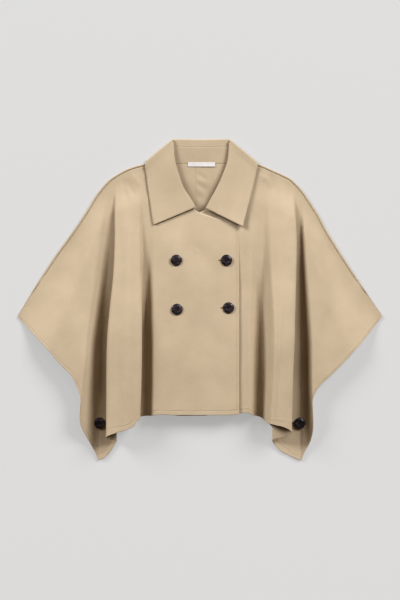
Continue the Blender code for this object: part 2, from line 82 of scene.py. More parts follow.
def eased(start, end, leave, reach, t):
    # from start to end, left and reached at these slopes
    rest = 1 - t
    return (
        start * rest**2 * (1 + 2 * t) + end * t**2 * (3 - 2 * t)
        + leave * t * rest**2 - reach * t**2 * rest
    )


def at(outline, s):
    # the y of an outline at a distance from the middle, on a curve that never passes beyond its points
    x, y = np.array(outline, float).T
    gap = np.diff(x)
    slope = np.diff(y) / gap
    product = slope[1:] * slope[:-1]
    total = np.where(product > 0, slope[1:] + slope[:-1], 1.0)
    inner = np.where(product > 0, 2 * product / total, 0.0)
    slopes = np.concatenate([slope[:1], inner, slope[-1:]])
    s = np.clip(s, x[0], x[-1])
    index = np.clip(np.searchsorted(x, s, side="right") - 1, 0, len(gap) - 1)
    leave, reach = slopes[index] * gap[index], slopes[index + 1] * gap[index]
    return eased(y[index], y[index + 1], leave, reach, (s - x[index]) / gap[index])


def smoothPath(points, steps=8):
    # a closer run of points, on a curve through these, whose tangents keep to the shorter gap
    points = np.array(points, float)
    found = [points[:1]]
    t = (np.arange(1, steps + 1) / steps)[:, None]
    for index in range(len(points) - 1):
        start, end = points[index], points[index + 1]
        before, after = points[max(index - 1, 0)], points[min(index + 2, len(points) - 1)]
        gap = np.linalg.norm(end - start)
        found.append(eased(start, end, unit(end - before) * gap, unit(after - start) * gap, t))
    return np.concatenate(found)


def lengthsAlong(points):
    # the distance on a path from its start to each of its points
    steps = np.linalg.norm(np.diff(np.asarray(points, float), axis=0), axis=1)
    return np.concatenate([[0], np.cumsum(steps)])


def onPath(points, fraction):
    lengths = lengthsAlong(points)
    want = np.asarray(fraction) * lengths[-1]
    return np.stack([np.interp(want, lengths, column) for column in np.asarray(points, float).T], axis=-1)


# Meshes


def meshOf(name, points, faces=(), edges=()):
    # a mesh of points that are given in millimetres
    mesh = bpy.data.meshes.new(name)
    mesh.from_pydata([tuple(float(value) * mm for value in point) for point in points], edges, faces)
    return mesh


def gridNormals(grid):
    # the way that each point of a grid faces
    return unit(np.cross(unit(np.gradient(grid, axis=1)), unit(np.gradient(grid, axis=0))))


def clothLengths(grid):
    # how far each point lies along its row and its column, measured on the cloth
    across = np.linalg.norm(np.diff(grid, axis=1), axis=2)
    down = np.linalg.norm(np.diff(grid, axis=0), axis=2)
    u = np.concatenate([np.zeros((len(grid), 1)), np.cumsum(across, axis=1)], axis=1)
    v = np.concatenate([np.zeros((1, grid.shape[1])), np.cumsum(down, axis=0)], axis=0)
    middle = grid.shape[1] // 2
    return u - u[:, middle:middle + 1] + u[0, middle], v


def shellMesh(name, grid, thickness, keep=None):
    # a thin wall round a grid of middle points, with a rounded rim
    rows, columns, _ = grid.shape
    normal = gridNormals(grid).reshape(-1, 3)
    middle = grid.reshape(-1, 3)
    total = len(middle)
    first = (np.arange(rows - 1)[:, None] * columns + np.arange(columns - 1)).reshape(-1)
    if keep is not None:
        first = first[keep.reshape(-1)]
    corners = np.stack([first, first + 1, first + columns + 1, first + columns], axis=1)
    edges = np.stack([corners, np.roll(corners, -1, axis=1)], axis=2).reshape(-1, 2)
    forward = edges[:, 0] * total + edges[:, 1]
    backward = edges[:, 1] * total + edges[:, 0]
    border = edges[~np.isin(forward, backward)]
    step = unit(middle[border[:, 1]] - middle[border[:, 0]])
    aside = np.zeros_like(middle)
    for end in (0, 1):
        np.add.at(aside, border[:, end], np.cross(step, normal[border[:, end]]))
    half = np.broadcast_to(np.asarray(thickness, float) / 2, (rows, columns)).reshape(-1, 1)
    rim = middle + unit(aside) * half * clothCut["rimReach"]
    points = np.concatenate([middle + normal * half, middle - normal * half, rim])
    start, end = border[:, 0], border[:, 1]
    faces = np.concatenate([
        corners,
        corners[:, ::-1] + total,
        np.stack([end, start, start + 2 * total, end + 2 * total], axis=1),
        np.stack([end + 2 * total, start + 2 * total, start + total, end + total], axis=1),
    ])
    used, faces = np.unique(faces, return_inverse=True)
    mesh = meshOf(name, points[used], faces.reshape(-1, 4).tolist())
    flat = np.stack([lengths.reshape(-1) for lengths in clothLengths(grid)], axis=1)
    place = np.tile(flat, (3, 1))[used] * mm
    loops = np.empty(len(mesh.loops), int)
    mesh.loops.foreach_get("vertex_index", loops)
    layer = mesh.uv_layers.new(name="cloth")
    layer.data.foreach_set("uv", place[loops].astype(np.float32).reshape(-1))
    mesh.shade_smooth()
    return mesh


def addObject(name, data):
    found = bpy.data.objects.new(name, data)
    bpy.context.scene.collection.objects.link(found)
    return found


def addPiece(name, mesh, finish, nodes=()):
    piece = addObject(name, mesh)
    if finish:
        mesh.materials.clear()
        mesh.materials.append(finish)
    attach(piece, "root")
    if nodes:
        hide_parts(*nodes)
    return piece


# Finishes

clothLook = {
    "twillAngle": 58.0,
    "slubScale": 900.0,
    "slubStretch": (1.0, 0.25, 1.0),
    "slubHeight": 0.35,
    "patchScale": 16.0,
    "patchShare": 0.6,
    "bumpDistance": 0.0004,
}


def setInputs(node, values):
    for key, value in values.items():
        node.inputs[key].default_value = value


def addNode(tree, kind, values=None, **settings):
    # a node with its settings, then with the values of its inputs
    node = tree.nodes.new(kind)
    for key, value in settings.items():
        setattr(node, key, value)
    setInputs(node, values or {})
    return node


def join(tree, *links):
    # links of (node, its output, next node, its input)
    for source, output, target, entry in links:
        tree.links.new(source.outputs[output], target.inputs[entry])


def addFinish(name, values):
    # a material, its node tree and its shader, which is given these values
    material = bpy.data.materials.new(name)
    material.use_nodes = True
    shader = material.node_tree.nodes["Principled BSDF"]
    setInputs(shader, values)
    return material, material.node_tree, shader


def makeWeave():
    # fine twill ribs and slubs on the cloth's own lengths
    look = clothLook
    tree = bpy.data.node_groups.new("twillWeave", "ShaderNodeTree")
    for name, way in (("ribs", "INPUT"), ("slubs", "INPUT"), ("height", "OUTPUT"), ("tone", "OUTPUT")):
        tree.interface.new_socket(name, in_out=way, socket_type="NodeSocketFloat")
    enter, leave = addNode(tree, "NodeGroupInput"), addNode(tree, "NodeGroupOutput")
    place = addNode(tree, "ShaderNodeUVMap", uv_map="cloth")
    turn = addNode(tree, "ShaderNodeMapping", {"Rotation": (0, 0, math.radians(look["twillAngle"]))})
    ribs = addNode(tree, "ShaderNodeTexWave", {"Distortion": 0.6, "Detail": 1.0}, wave_profile="SIN")
    stretch = addNode(tree, "ShaderNodeMapping", {"Scale": look["slubStretch"]})
    slubs = addNode(tree, "ShaderNodeTexNoise", {"Detail": 4.0})
    mix = addNode(tree, "ShaderNodeMath", {1: look["slubHeight"]}, operation="MULTIPLY_ADD")
    join(
        tree,
        (place, "UV", turn, "Vector"),
        (turn, "Vector", ribs, "Vector"),
        (enter, "ribs", ribs, "Scale"),
        (place, "UV", stretch, "Vector"),
        (stretch, "Vector", slubs, "Vector"),
        (enter, "slubs", slubs, "Scale"),
        (slubs, "Fac", mix, 0),
        (ribs, "Fac", mix, 2),
        (mix, "Value", leave, "height"),
        (slubs, "Fac", leave, "tone"),
    )
    return tree


weave = makeWeave()


def makeCloth(name, light, dark, ribs=520.0, bump=0.12, sheen=0.08):
    # twill whose tone goes from dark to light with its slubs and in larger patches
    look = clothLook
    material, tree, shader = addFinish(name, {
        "Roughness": 0.88,
        "Specular IOR Level": 0.22,
        "Sheen Weight": sheen,
        "Sheen Roughness": 0.5,
        "Sheen Tint": (*light, 1.0),
    })
    group = addNode(tree, "ShaderNodeGroup", {"ribs": ribs, "slubs": look["slubScale"]}, node_tree=weave)
    place = addNode(tree, "ShaderNodeTexCoord")
    patches = addNode(tree, "ShaderNodeTexNoise", {"Scale": look["patchScale"], "Detail": 5.0})
    blend = addNode(tree, "ShaderNodeMix", {0: look["patchShare"]}, data_type="FLOAT")
    colour = addNode(tree, "ShaderNodeMix", {6: (*dark, 1.0), 7: (*light, 1.0)}, data_type="RGBA")
    raised = addNode(tree, "ShaderNodeBump", {"Strength": bump, "Distance": look["bumpDistance"]})
    join(
        tree,
        (place, "Object", patches, "Vector"),
        (group, "tone", blend, 2),
        (patches, "Fac", blend, 3),
        (blend, 0, colour, 0),
        (colour, 2, shader, "Base Color"),
        (group, "height", raised, "Height"),
        (raised, "Normal", shader, "Normal"),
    )
    return material


gabardine = makeCloth("camelGabardine", (0.524, 0.443, 0.341), (0.364, 0.301, 0.219))
ribbon = makeCloth("whiteRibbon", (0.60, 0.60, 0.60), (0.54, 0.54, 0.545), ribs=900.0, bump=0.08, sheen=0.1)
sewingThread = makeCloth("camelThread", (0.47, 0.35, 0.21), (0.36, 0.26, 0.15), ribs=2200.0, bump=0.3)
# near-black button thread, also used as painted shade in the buttonhole slits
darkThreadAndSlitShade = makeCloth("darkThreadAndSlitShade", (0.060, 0.045, 0.040), (0.025, 0.018, 0.016), ribs=2200.0, bump=0.3)
labelThread = makeCloth("whiteThread", (0.56, 0.56, 0.56), (0.48, 0.48, 0.485), ribs=2200.0, bump=0.3)

hornLook = {
    "shader": {"Roughness": 0.3, "Specular IOR Level": 0.5, "Coat Weight": 0.7, "Coat Roughness": 0.15},
    "streaks": {"Scale": (60.0, 260.0, 120.0), "Rotation": (0, 0, 0.7)},
    # from near black to a paler streak tone, which is real streaking lightened also as painted sheen
    "tones": ((0.42, (0.016, 0.014, 0.022, 1)), (0.72, (0.095, 0.072, 0.078, 1))),
}


def makeHorn():
    # near-black horn, with paler streaks whose pale tone is partly painted sheen, and a polished coat
    look = hornLook
    material, tree, shader = addFinish("darkHorn", look["shader"])
    place = addNode(tree, "ShaderNodeTexCoord")
    stretch = addNode(tree, "ShaderNodeMapping", look["streaks"])
    streaks = addNode(tree, "ShaderNodeTexNoise", {"Scale": 1.0, "Detail": 5.0})
    tones = addNode(tree, "ShaderNodeValToRGB")
    for element, (position, tone) in zip(tones.color_ramp.elements, look["tones"]):
        element.position = position
        element.color = tone
    join(
        tree,
        (place, "Object", stretch, "Vector"),
        (stretch, "Vector", streaks, "Vector"),
        (streaks, "Fac", tones, "Fac"),
        (tones, "Color", shader, "Base Color"),
    )
    return material


horn = makeHorn()
print("finishes ready")

# The cut of the two fronts

Wall = namedtuple("Wall", "name centre half lean round roundTop columns")
Span = namedtuple("Span", "name level crown columns")
Panel = namedtuple("Panel", "side spans walls shoulder neckline hem opening")

frontForm = {
    "wrapWidth": 97.0,
    "farReach": 455.5,
    "shoulderNeck": 84.0,
    "seamHeight": 3.0,
    "liftHeight": 2.4,
    "liftStart": 250.0,
    "liftReach": 55.0,
    "liftFar": 225.0,
    "liftFade": 70.0,
    "pillowStart": 9.0,
    "pillowReach": 90.0,
    "wingPillow": 120.0,
    "wingStart": 230.0,
    "wingReach": 150.0,
    "wingFade": 0.85,
    "footSteepness": 0.97,
    "roundFade": 120.0,
    "leastRound": 0.4,
    "bulgeReach": 0.25,
    "cornerStart": 418.0,
    "cornerInset": 0.8,
    "crownTop": 250.0,
    "crownRise": 160.0,
    "leanStart": 20.0,
    "leanReach": 110.0,
    "lapInset": 4.4,
    "slopeStep": 6.0,
    "turnWidth": 16.0,
    "leastSquare": 0.45,
    "edgeRoom": 0.6,
    "edgeDrop": 0.9,
    "edgeFade": 14.0,
    "underFade": 26.0,
    "underStart": 4.0,
    "underNeck": 290.0,
    "underNeckFade": 50.0,
    "wingMeet": 0.375,
    "middleWidth": 201.0,
    "guessTop": 150.0,
    "guessHem": -320.0,
    "gapHem": -390.0,
    "guesses": 24,
    "rows": 112,
    "edgeRows": (0, 0.7, 2.4, 4.2, 5.0, 5.8, 7.5, 9.4, 10.6, 11.4, 12.2, 14, 18, 23),
    "edgeColumns": (0, 0.7, 2.4, 4.2, 5.0, 5.8, 8, 12, 17),
}

# Each front from its front edge outwards: spans lie level at the four stations, and walls join them.
# A wall's round is how far its upper end is a rounded shoulder over a steep foot, not an even slope.
rightSpans = (
    Span("centre", (10, 26, 35, 34), 3, 40),
    Span("innerTrough", (10, 20, 5.5, 5.5), 0, 4),
    Span("ridge", (11, 35, 56, 53), 3.5, 22),
    Span("outerTrough", (8, 8, 4.5, 4.2), 0, 8),
    Span("wing", (10, 21, 38, 41), 0, 44),
)
rightWalls = (
    Wall("innerFall", (120, 122, 123.5, 124), (12, 13, 11, 10), (0, 0, 0, 0), 0.8, -60, 20),
    Wall("innerRise", (146, 147, 149, 153), (11, 9, 4.5, 6), (0, 2, 6, 6), 0.0, -60, 26),
    Wall("outerFall", (215, 210, 218, 221.5), (8, 9, 10, 11), (3, 8, 17, 17), 0.0, 110, 34),
    Wall("wingRise", (238, 247, 267, 275), (12, 18, 19, 17), (0, 0, 0, 0), 0.1, 110, 22),
)
leftSpans = (
    Span("centre", (10, 26, 33, 31), 3, 40),
    Span("innerTrough", (10, 22, 11, 5.5), 0, 4),
    Span("ridge", (11, 35, 58, 55), 1.5, 22),
    Span("outerTrough", (8, 8, 4.5, 4.2), 0, 8),
    Span("wing", (10, 23, 34, 33), 0, 44),
)
leftWalls = (
    Wall("innerFall", (130, 134, 136, 132), (12, 13, 14, 11), (0, 0, 0, 0), 0.3, -60, 20),
    Wall("innerRise", (168, 168, 175, 168), (13, 14, 14, 11), (0, 0, 0, 0), 0.2, -60, 24),
    Wall("outerFall", (238, 234, 220.5, 204.5), (8, 12, 14, 16), (4, 12, 20, 31), 0.0, 110, 34),
    Wall("wingRise", (257, 260, 268, 265), (8, 10, 15, 13), (0, 0, 0, 0), 0.2, 110, 22),
)
# the wings' heights at their outer edge, by side
wingEdge = {-1: (8, 14, 30, 37), 1: (8, 14, 26, 29)}

# Outlines, as distance from the middle and y, each from the neck or the hem outwards
rightShoulder = (
    (0, 358), (84, 353), (137.5, 341.5), (180.5, 329), (219, 308), (235.5, 294), (260, 264),
    (283, 226.5), (321, 169.5), (364.5, 109.5), (418.5, 25.5), (457.5, -41),
)
leftShoulder = (
    (0, 358), (84, 353), (144, 341.5), (179, 327), (222.5, 307), (231, 301.5), (255, 276.5),
    (271, 254.5), (300, 209), (316, 177.5), (365, 99), (411, 29), (457.5, -41),
)
rightNeckline = ((-97, 180), (-39, 204), (11, 223), (35, 250), (68, 290), (80, 325), (84, 353))
leftNeckline = ((-93, 178), (-39, 200), (-11, 214), (13, 226), (37, 252), (68, 290), (80, 325), (84, 353))
rightHem = (
    (-103, -283.5), (-97, -286), (-75, -288), (59, -288.5), (97, -287), (120, -289.5),
    (150, -293), (158, -302), (163, -313), (184, -324.5), (209.5, -332), (215.5, -342),
    (221.5, -350), (227.5, -358), (233.5, -391), (243, -398), (254, -402.5),
)
leftHem = (
    (-93, -283.5), (103, -283.5), (121, -282.5), (128.5, -288), (147, -292), (158, -298),
    (166, -307), (189, -313), (196.5, -329), (204.5, -345), (212.5, -355), (220.5, -388),
    (232.5, -395), (253.5, -404),
)
rightBackHem = (
    (-13, -291), (8, -291), (60, -291), (75, -288), (120, -286), (156, -296), (184, -320),
    (207, -328), (214, -345), (222, -377), (251, -399),
)
leftBackHem = (
    (13, -291), (60, -285), (128, -282), (150, -290), (165, -303), (185, -325), (190, -350),
    (198, -365), (225, -386), (251, -400),
)
rightOpening = (
    (254, -402.5), (265.5, -378.5), (291, -330), (299, -308), (299, -275), (297.5, -256),
    (300, -236), (320, -191), (347, -163.5), (385, -119.5), (420, -83.5), (455.5, -44),
)
leftOpening = (
    (253.5, -404), (261, -385), (275, -358.5), (281.5, -335), (283, -310), (280.5, -262.5),
    (282, -247), (296, -219.5), (332.5, -183), (360, -156), (410, -101), (455.5, -44),
)
rightPanel = Panel(-1, rightSpans, rightWalls, rightShoulder, rightNeckline, rightHem, rightOpening)
leftPanel = Panel(1, leftSpans, leftWalls, leftShoulder, leftNeckline, leftHem, leftOpening)
smoothOpenings = {-1: smoothPath(rightOpening), 1: smoothPath(leftOpening)}


def lift(x, y):
    # the collar's lower layer lifts the cloth over it
    form = frontForm
    rise = form["liftHeight"] * smooth((y - form["liftStart"]) / form["liftReach"])
    return rise * smooth((form["liftFar"] - np.abs(x)) / form["liftFade"])


def seamHeight(x, y):
    return frontForm["seamHeight"] + lift(x, y)


def frontTop(panel, s):
    form = frontForm
    if s <= form["shoulderNeck"]:
        return float(at(panel.neckline, s))
    step = form["slopeStep"]
    slope = float(at(panel.shoulder, s + step) - at(panel.shoulder, s - step)) / (2 * step)
    near = float(smooth((s - form["cornerStart"]) / (form["farReach"] - form["cornerStart"])))
    inset = form["lapInset"] + (form["cornerInset"] - form["lapInset"]) * near
    return float(at(panel.shoulder, s)) - inset * math.hypot(1, slope)


def wallLine(panel, index, t, y):
    # a wall's line, on which its heights are worked out, and the same line with its lean
    wall = panel.walls[index]
    flat = along(wall.centre, y) + along(wall.half, y) * t
    below = at(panel.shoulder, along(wall.centre, y)) - frontForm["leanStart"] - y
    lean = along(wall.lean, y) * smooth(below / frontForm["leanReach"])
    return flat, flat - lean * math.sin(math.pi * t)


def wallShare(panel, index, t, y):
    # how much of a wall's change of height is done at t
    even = (1 + t + math.sin(math.pi * t) / math.pi) / 2
    wall = panel.walls[index]
    isRise = wall.name.endswith("Rise")
    u = (1 - t) / 2 if isRise else (1 + t) / 2
    steep = frontForm["footSteepness"]
    rounded = (1 - math.sqrt(1 - steep * u * u)) / (1 - math.sqrt(1 - steep))
    rounded = 1 - rounded if isRise else rounded
    fade = 1 - smooth((y - wall.roundTop) / frontForm["roundFade"])
    return even + (rounded - even) * wall.round * fade


def wallHeight(panel, index, t, y):
    start = along(panel.spans[index].level, y)
    return start + (along(panel.spans[index + 1].level, y) - start) * wallShare(panel, index, t, y)


def wallSteps(wall):
    # places across a wall, closer together at a steep foot
    if wall.round < frontForm["leastRound"]:
        return np.linspace(-1, 1, wall.columns)
    u = np.sin(np.linspace(0, 1, wall.columns) * math.pi / 2)
    return (1 - 2 * u)[::-1] if wall.name.endswith("Rise") else 2 * u - 1


def spanHeight(panel, index, f, y):
    form = frontForm
    span = panel.spans[index]
    fade = smooth((form["crownTop"] - y) / form["crownRise"])
    level = along(span.level, y)
    if span.name == "wing":
        level = level + (along(wingEdge[panel.side], y) - level) * smooth(f / form["wingFade"])
    return level + span.crown * fade * (1 - np.cos(2 * np.pi * f)) / 2


def pillowed(panel, s, y, height):
    # a height that rises out of the shoulder seam
    form = frontForm
    seam = seamHeight(panel.side * s, y)
    below = at(panel.shoulder, np.maximum(s, 0)) - form["pillowStart"] - y
    reach = form["pillowReach"] + form["wingPillow"] * smooth((s - form["wingStart"]) / form["wingReach"])
    return seam + (height - seam) * smooth(below / reach)


def frontColumns(panel):
    # the lines that run down a front, as (kind, number, place on it), from the front edge
    near = [distance / frontForm["middleWidth"] for distance in frontForm["edgeColumns"]]
    rest = np.linspace(near[-1], 1, panel.spans[0].columns + 1)[1:-1]
    found = [("span", 0, f) for f in [*near, *rest]]
    for index, wall in enumerate(panel.walls):
        found += [("wall", index, float(t)) for t in wallSteps(wall)]
        steps = np.linspace(0, 1, panel.spans[index + 1].columns + 1)
        inner = steps[1:] if index == len(panel.walls) - 1 else steps[1:-1]
        found += [("span", index + 1, f) for f in inner]
    return found


def wingColumns(panel):
    # which of a front's columns belong to its wing and to the wall that leads up to it
    last = len(panel.walls) - 1
    columns = frontColumns(panel)
    return np.array([index > last or (kind == "wall" and index == last) for kind, index, _ in columns])


def columnLine(panel, column, y):
    kind, index, place = column
    if kind == "wall":
        return wallLine(panel, index, place, y)
    start = -frontForm["wrapWidth"] if index == 0 else wallLine(panel, index - 1, 1, y)[0]
    end = wallLine(panel, index, -1, y)[0] if index < len(panel.walls) else frontForm["farReach"]
    flat = start + (end - start) * place
    return flat, flat


def meeting(panel, column, y, edge):
    # where a column meets an edge, closer at each guess of its y
    for _ in range(frontForm["guesses"]):
        y += 0.5 * (edge(float(columnLine(panel, column, y)[0])) - y)
    return float(columnLine(panel, column, y)[0]), y


def columnEnds(panel, column):
    form = frontForm
    kind, index, place = column
    last = len(panel.walls) - 1
    top = meeting(panel, column, form["guessTop"], lambda s: frontTop(panel, s))
    opening = smoothOpenings[panel.side]
    if index > last:
        return top, onPath(opening, form["wingMeet"] + (1 - form["wingMeet"]) * place)
    if index == last and kind == "wall":
        return top, onPath(opening, form["wingMeet"] * (place + 1) / 2)
    if index == last:
        start = float(wallLine(panel, last - 1, 1, form["gapHem"])[0])
        s = start + (panel.hem[-1][0] - start) * place
        return top, (s, float(at(panel.hem, s)))
    return top, meeting(panel, column, form["guessHem"], lambda s: float(at(panel.hem, s)))


def underDrop(s, y):
    # how far the under front lies below the top one
    form = frontForm
    depth = clothCut["solidThickness"] + clothCut["layerGap"]
    covered = 1 - smooth((s - form["wrapWidth"] - form["underStart"]) / form["underFade"])
    return depth * covered * smooth((form["underNeck"] - y) / form["underNeckFade"])


def frontGrid(panel, isUnder):
    # the middle layer of a front: rows from its top to its hem, columns from its front edge outwards
    form = frontForm
    columns = frontColumns(panel)
    tops, bottoms = (np.array(ends) for ends in zip(*(columnEnds(panel, column) for column in columns)))
    length = np.linalg.norm(bottoms - tops, axis=1)
    edge = unit(np.gradient(bottoms, axis=0))
    down = unit(bottoms - tops)
    square = np.clip(np.abs(down[:, 0] * edge[:, 1] - down[:, 1] * edge[:, 0]), form["leastSquare"], 1)
    # the rows turn gradually where the hem meets the opening
    reach = lengthsAlong(bottoms)
    share = np.exp(-(((reach[:, None] - reach) / form["turnWidth"]) ** 2)) * np.gradient(reach)
    square = share @ square / share.sum(axis=1)
    edgeRows = np.array(form["edgeRows"], float)[::-1]
    grid = np.empty((form["rows"] + len(edgeRows), len(columns), 3))
    bulge = 0.0
    for c, column in enumerate(columns):
        kind, index, place = column
        room = min(1.0, form["edgeRoom"] * length[c] * square[c] / edgeRows[0])
        near = 1 - edgeRows * room / square[c] / length[c]
        v = np.concatenate([np.linspace(0, near[0], form["rows"] + 1)[:-1], near])
        straight, y = (tops[c] + (bottoms[c] - tops[c]) * v[:, None]).T
        if index == len(panel.walls):
            flat = true = straight + bulge * (1 - smooth(place / form["bulgeReach"]))
        else:
            topShift = tops[c, 0] - columnLine(panel, column, tops[c, 1])[0]
            bottomShift = bottoms[c, 0] - columnLine(panel, column, bottoms[c, 1])[0]
            shift = topShift * (1 - v) ** 3 + bottomShift * v**5
            flat, true = (line + shift for line in columnLine(panel, column, y))
            bulge = flat - straight
        height = (wallHeight if kind == "wall" else spanHeight)(panel, index, place, y)
        height = pillowed(panel, flat, y, height)
        if isUnder:
            height -= underDrop(flat, y)
        else:
            height -= form["edgeDrop"] * (1 - smooth((flat + form["wrapWidth"]) / form["edgeFade"]))
        grid[:, c] = np.stack([panel.side * true, y, height], axis=1)
    return grid


# Small creases and waves

Crease = namedtuple("Crease", "startX startY endX endY width depth")

frontCreases = (
    Crease(-185, 300, -165, 262, 7, -1.6),
    Crease(-172, 318, -150, 285, 6, 1.2),
    Crease(-196, 306, -182, 245, 6, -1.2),
    Crease(160, 330, 176, 286, 7, -1.6),
    Crease(178, 318, 186, 270, 6, 1.3),
    Crease(150, 318, 162, 300, 6, -1.1),
    Crease(223, 296, 220, 150, 5, 0.7),
    Crease(119, -35, 128, -285, 3.5, -0.9),
    Crease(132, -60, 140, -240, 9, 0.8),
    Crease(-30, 140, 60, 60, 26, -1.52),
    Crease(60, 170, 20, 60, 22, 1.33),
    Crease(-70, 150, -40, 40, 20, 0.95),
    Crease(-20, -60, 70, -120, 30, -1.52),
    Crease(-80, -120, 10, -200, 34, 1.71),
    Crease(20, -180, 80, -250, 24, -1.33),
    Crease(-350, 40, -320, -90, 30, 2.09),
    Crease(-300, 60, -290, -120, 26, -1.9),
    Crease(340, 60, 330, -90, 30, 1.9),
    Crease(300, 80, 296, -60, 24, -1.71),
)

waveForm = {
    "height": 1.3,
    "width": 70.0,
    "length": 190.0,
    "seed": 4.0,
    "fineHeight": 0.4,
    "fineAcross": 2.3,
    "fineDown": 2.6,
    "fineSeed": 13.0,
    "creaseTaper": 0.25,
}


def addCreases(grid, creases):
    # soft troughs and ridges laid on a grid, each fading out at its ends
    move = np.zeros(grid.shape[:2])
    taper = waveForm["creaseTaper"]
    for crease in creases:
        start = np.array((crease.startX, crease.startY), float)
        way = np.array((crease.endX, crease.endY), float) - start
        length = np.linalg.norm(way)
        way /= length
        offset = grid[:, :, :2] - start
        t = (offset @ way) / length
        aside = offset @ np.array((-way[1], way[0]))
        fade = smooth((t + taper) / (2 * taper)) * smooth((1 + taper - t) / (2 * taper))
        move += crease.depth * np.exp(-((aside / crease.width) ** 2)) * fade
    return grid + gridNormals(grid) * move[:, :, None]


def addWaves(grid):
    # a slow unevenness, longer down the cloth than across it
    form = waveForm
    move = []
    for x, y, _ in grid.reshape(-1, 3):
        x, y = x / form["width"], y / form["length"]
        fine = Vector((x * form["fineAcross"], y * form["fineDown"], form["fineSeed"]))
        move.append(noise.noise(Vector((x, y, form["seed"]))) + form["fineHeight"] * noise.noise(fine))
    return grid + gridNormals(grid) * np.reshape(move, (*grid.shape[:2], 1)) * form["height"]


# A hem's turned cloth is proud below its stitches and drawn in along them
hemForm = {
    "hemStitch": 10.6,
    "openingStitch": 5.0,
    "edgeStitch": 5.0,
    "calmStart": 8.0,
    "calmReach": 25.0,
    "sink": 0.28,
    "besideSink": 0.08,
    "besideShare": 0.5,
    "puckers": ((0.12, 7.5, 0), (0.10, 11.3, 1)),
}


def hemRow(distance):
    # the row of a front's grid that lies this far inside its lower edge
    return frontForm["rows"] + frontForm["edgeRows"][::-1].index(distance)


def makeFront(panel, isUnder):
    # a front's middle layer with its waves, creases and hems
    form = hemForm
    grid = frontGrid(panel, isUnder)
    below = at(panel.shoulder, np.maximum(panel.side * grid[:, :, 0], 0)) - grid[:, :, 1] - form["calmStart"]
    calm = smooth(below / form["calmReach"])
    grid += (addWaves(addCreases(grid, frontCreases)) - grid) * calm[:, :, None]
    normal = gridNormals(grid)
    lengths = lengthsAlong(grid[-1])
    pucker = sum(height * np.sin(lengths / width + shift) for height, width, shift in form["puckers"])
    pucker = pucker[:, None]
    isWing = wingColumns(panel)
    for distance, chosen in ((form["hemStitch"], ~isWing), (form["openingStitch"], isWing)):
        row = hemRow(distance)
        grid[row, chosen] -= normal[row, chosen] * (form["sink"] + pucker[chosen])
        for beside in (row - 1, row + 1):
            sink = form["besideSink"] + form["besideShare"] * pucker[chosen]
            grid[beside, chosen] -= normal[beside, chosen] * sink
    return grid if panel.side < 0 else grid[:, ::-1]


def addCloth(name, node, grid, thickness=clothCut["thickness"], keep=None):
    # a shell of the main cloth in place of a node
    return addPiece(name, shellMesh(name, grid, thickness, keep), gabardine, (node,))


rightFrontGrid = makeFront(rightPanel, False)
leftFrontGrid = makeFront(leftPanel, True)
rightFront = addCloth("rightFrontCloth", "front_right", rightFrontGrid)
leftFront = addCloth("leftFrontCloth", "front_left", leftFrontGrid)
print("fronts made", rightFrontGrid.shape)

# The two halves of the back, which lie flat and wrap over the shoulder seam

backForm = {
    "height": 0.8,
    "wrapRadius": 1.7,
    "wrapReturn": 2.6,
    "wrapStart": 108.0,
    "wrapEnd": 440.0,
    "wrapTaper": (385.0, 438.0),
    "leastWrap": 0.02,
    "wrapThickness": 0.7,
    "lipThickness": 0.49,
    "wrapDrop": 0.15,
    "wrapRows": 9,
    "curlReach": 25.0,
    "centreX": -13.0,
    "neckY": 341.1,
    "neckStraight": 74.0,
    "neckCorner": (84.0, 352.0),
    "farCorner": (455.5, -37.5),
    "inset": 3.2,
    "leastSlope": 0.08,
    "shareStep": 0.01,
    "columns": 96,
    "neckColumns": 24,
    "neckSpacing": 1.4,
    "rows": 96,
    "rowSpacing": 1.35,
    "seamThickness": 0.5,
    "seamWidth": 1.4,
    "calmY": 330.0,
    "calmReach": 12.0,
    "calmSeam": 5.0,
}

backCreases = (
    Crease(-7, 316, 16, 302, 5, -0.7),
    Crease(-6, 303, 18, 290, 5, 0.8),
    Crease(-8, 291, 14, 276, 5, -0.8),
    Crease(-8, 278, 12, 264, 5, 0.7),
    Crease(-9, 262, 6, 250, 5, -0.5),
    Crease(12, 318, 24, 284, 6, 0.6),
    Crease(-40, 310, -30, 250, 12, 0.4),
)


def backOutlines(panel, hem):
    # the upper edge, from the seam over the neck and along the shoulder, and the lower one
    form = backForm
    start = panel.side * form["centreX"] + clothCut["seamGap"] / 2
    neck = [(start, form["neckY"]), (form["neckStraight"], form["neckY"])]
    middle = [point for point in panel.shoulder if form["neckCorner"][0] < point[0] < frontForm["farReach"]]
    upper = np.concatenate([neck, smoothPath([form["neckCorner"], *middle, form["farCorner"]])])
    lower = []
    for s, y in panel.opening[:0:-1]:
        s -= form["inset"]
        if lower:
            s = min(s, lower[0][0] - form["leastSlope"] * (lower[0][1] - y))
        lower.insert(0, (s, y + 1))
    return upper, smoothPath([*hem, *lower])


def backColumnShares(upper):
    # where the columns leave the upper edge: closer at the seam, then even along the shoulder
    form = backForm
    neckEnd, corner = lengthsAlong(upper)[1:3] / lengthsAlong(upper)[-1]
    neck = neckEnd * np.linspace(0, 1, form["neckColumns"]) ** form["neckSpacing"]
    return np.concatenate([neck, np.linspace(corner, 1, form["columns"] - form["neckColumns"])])


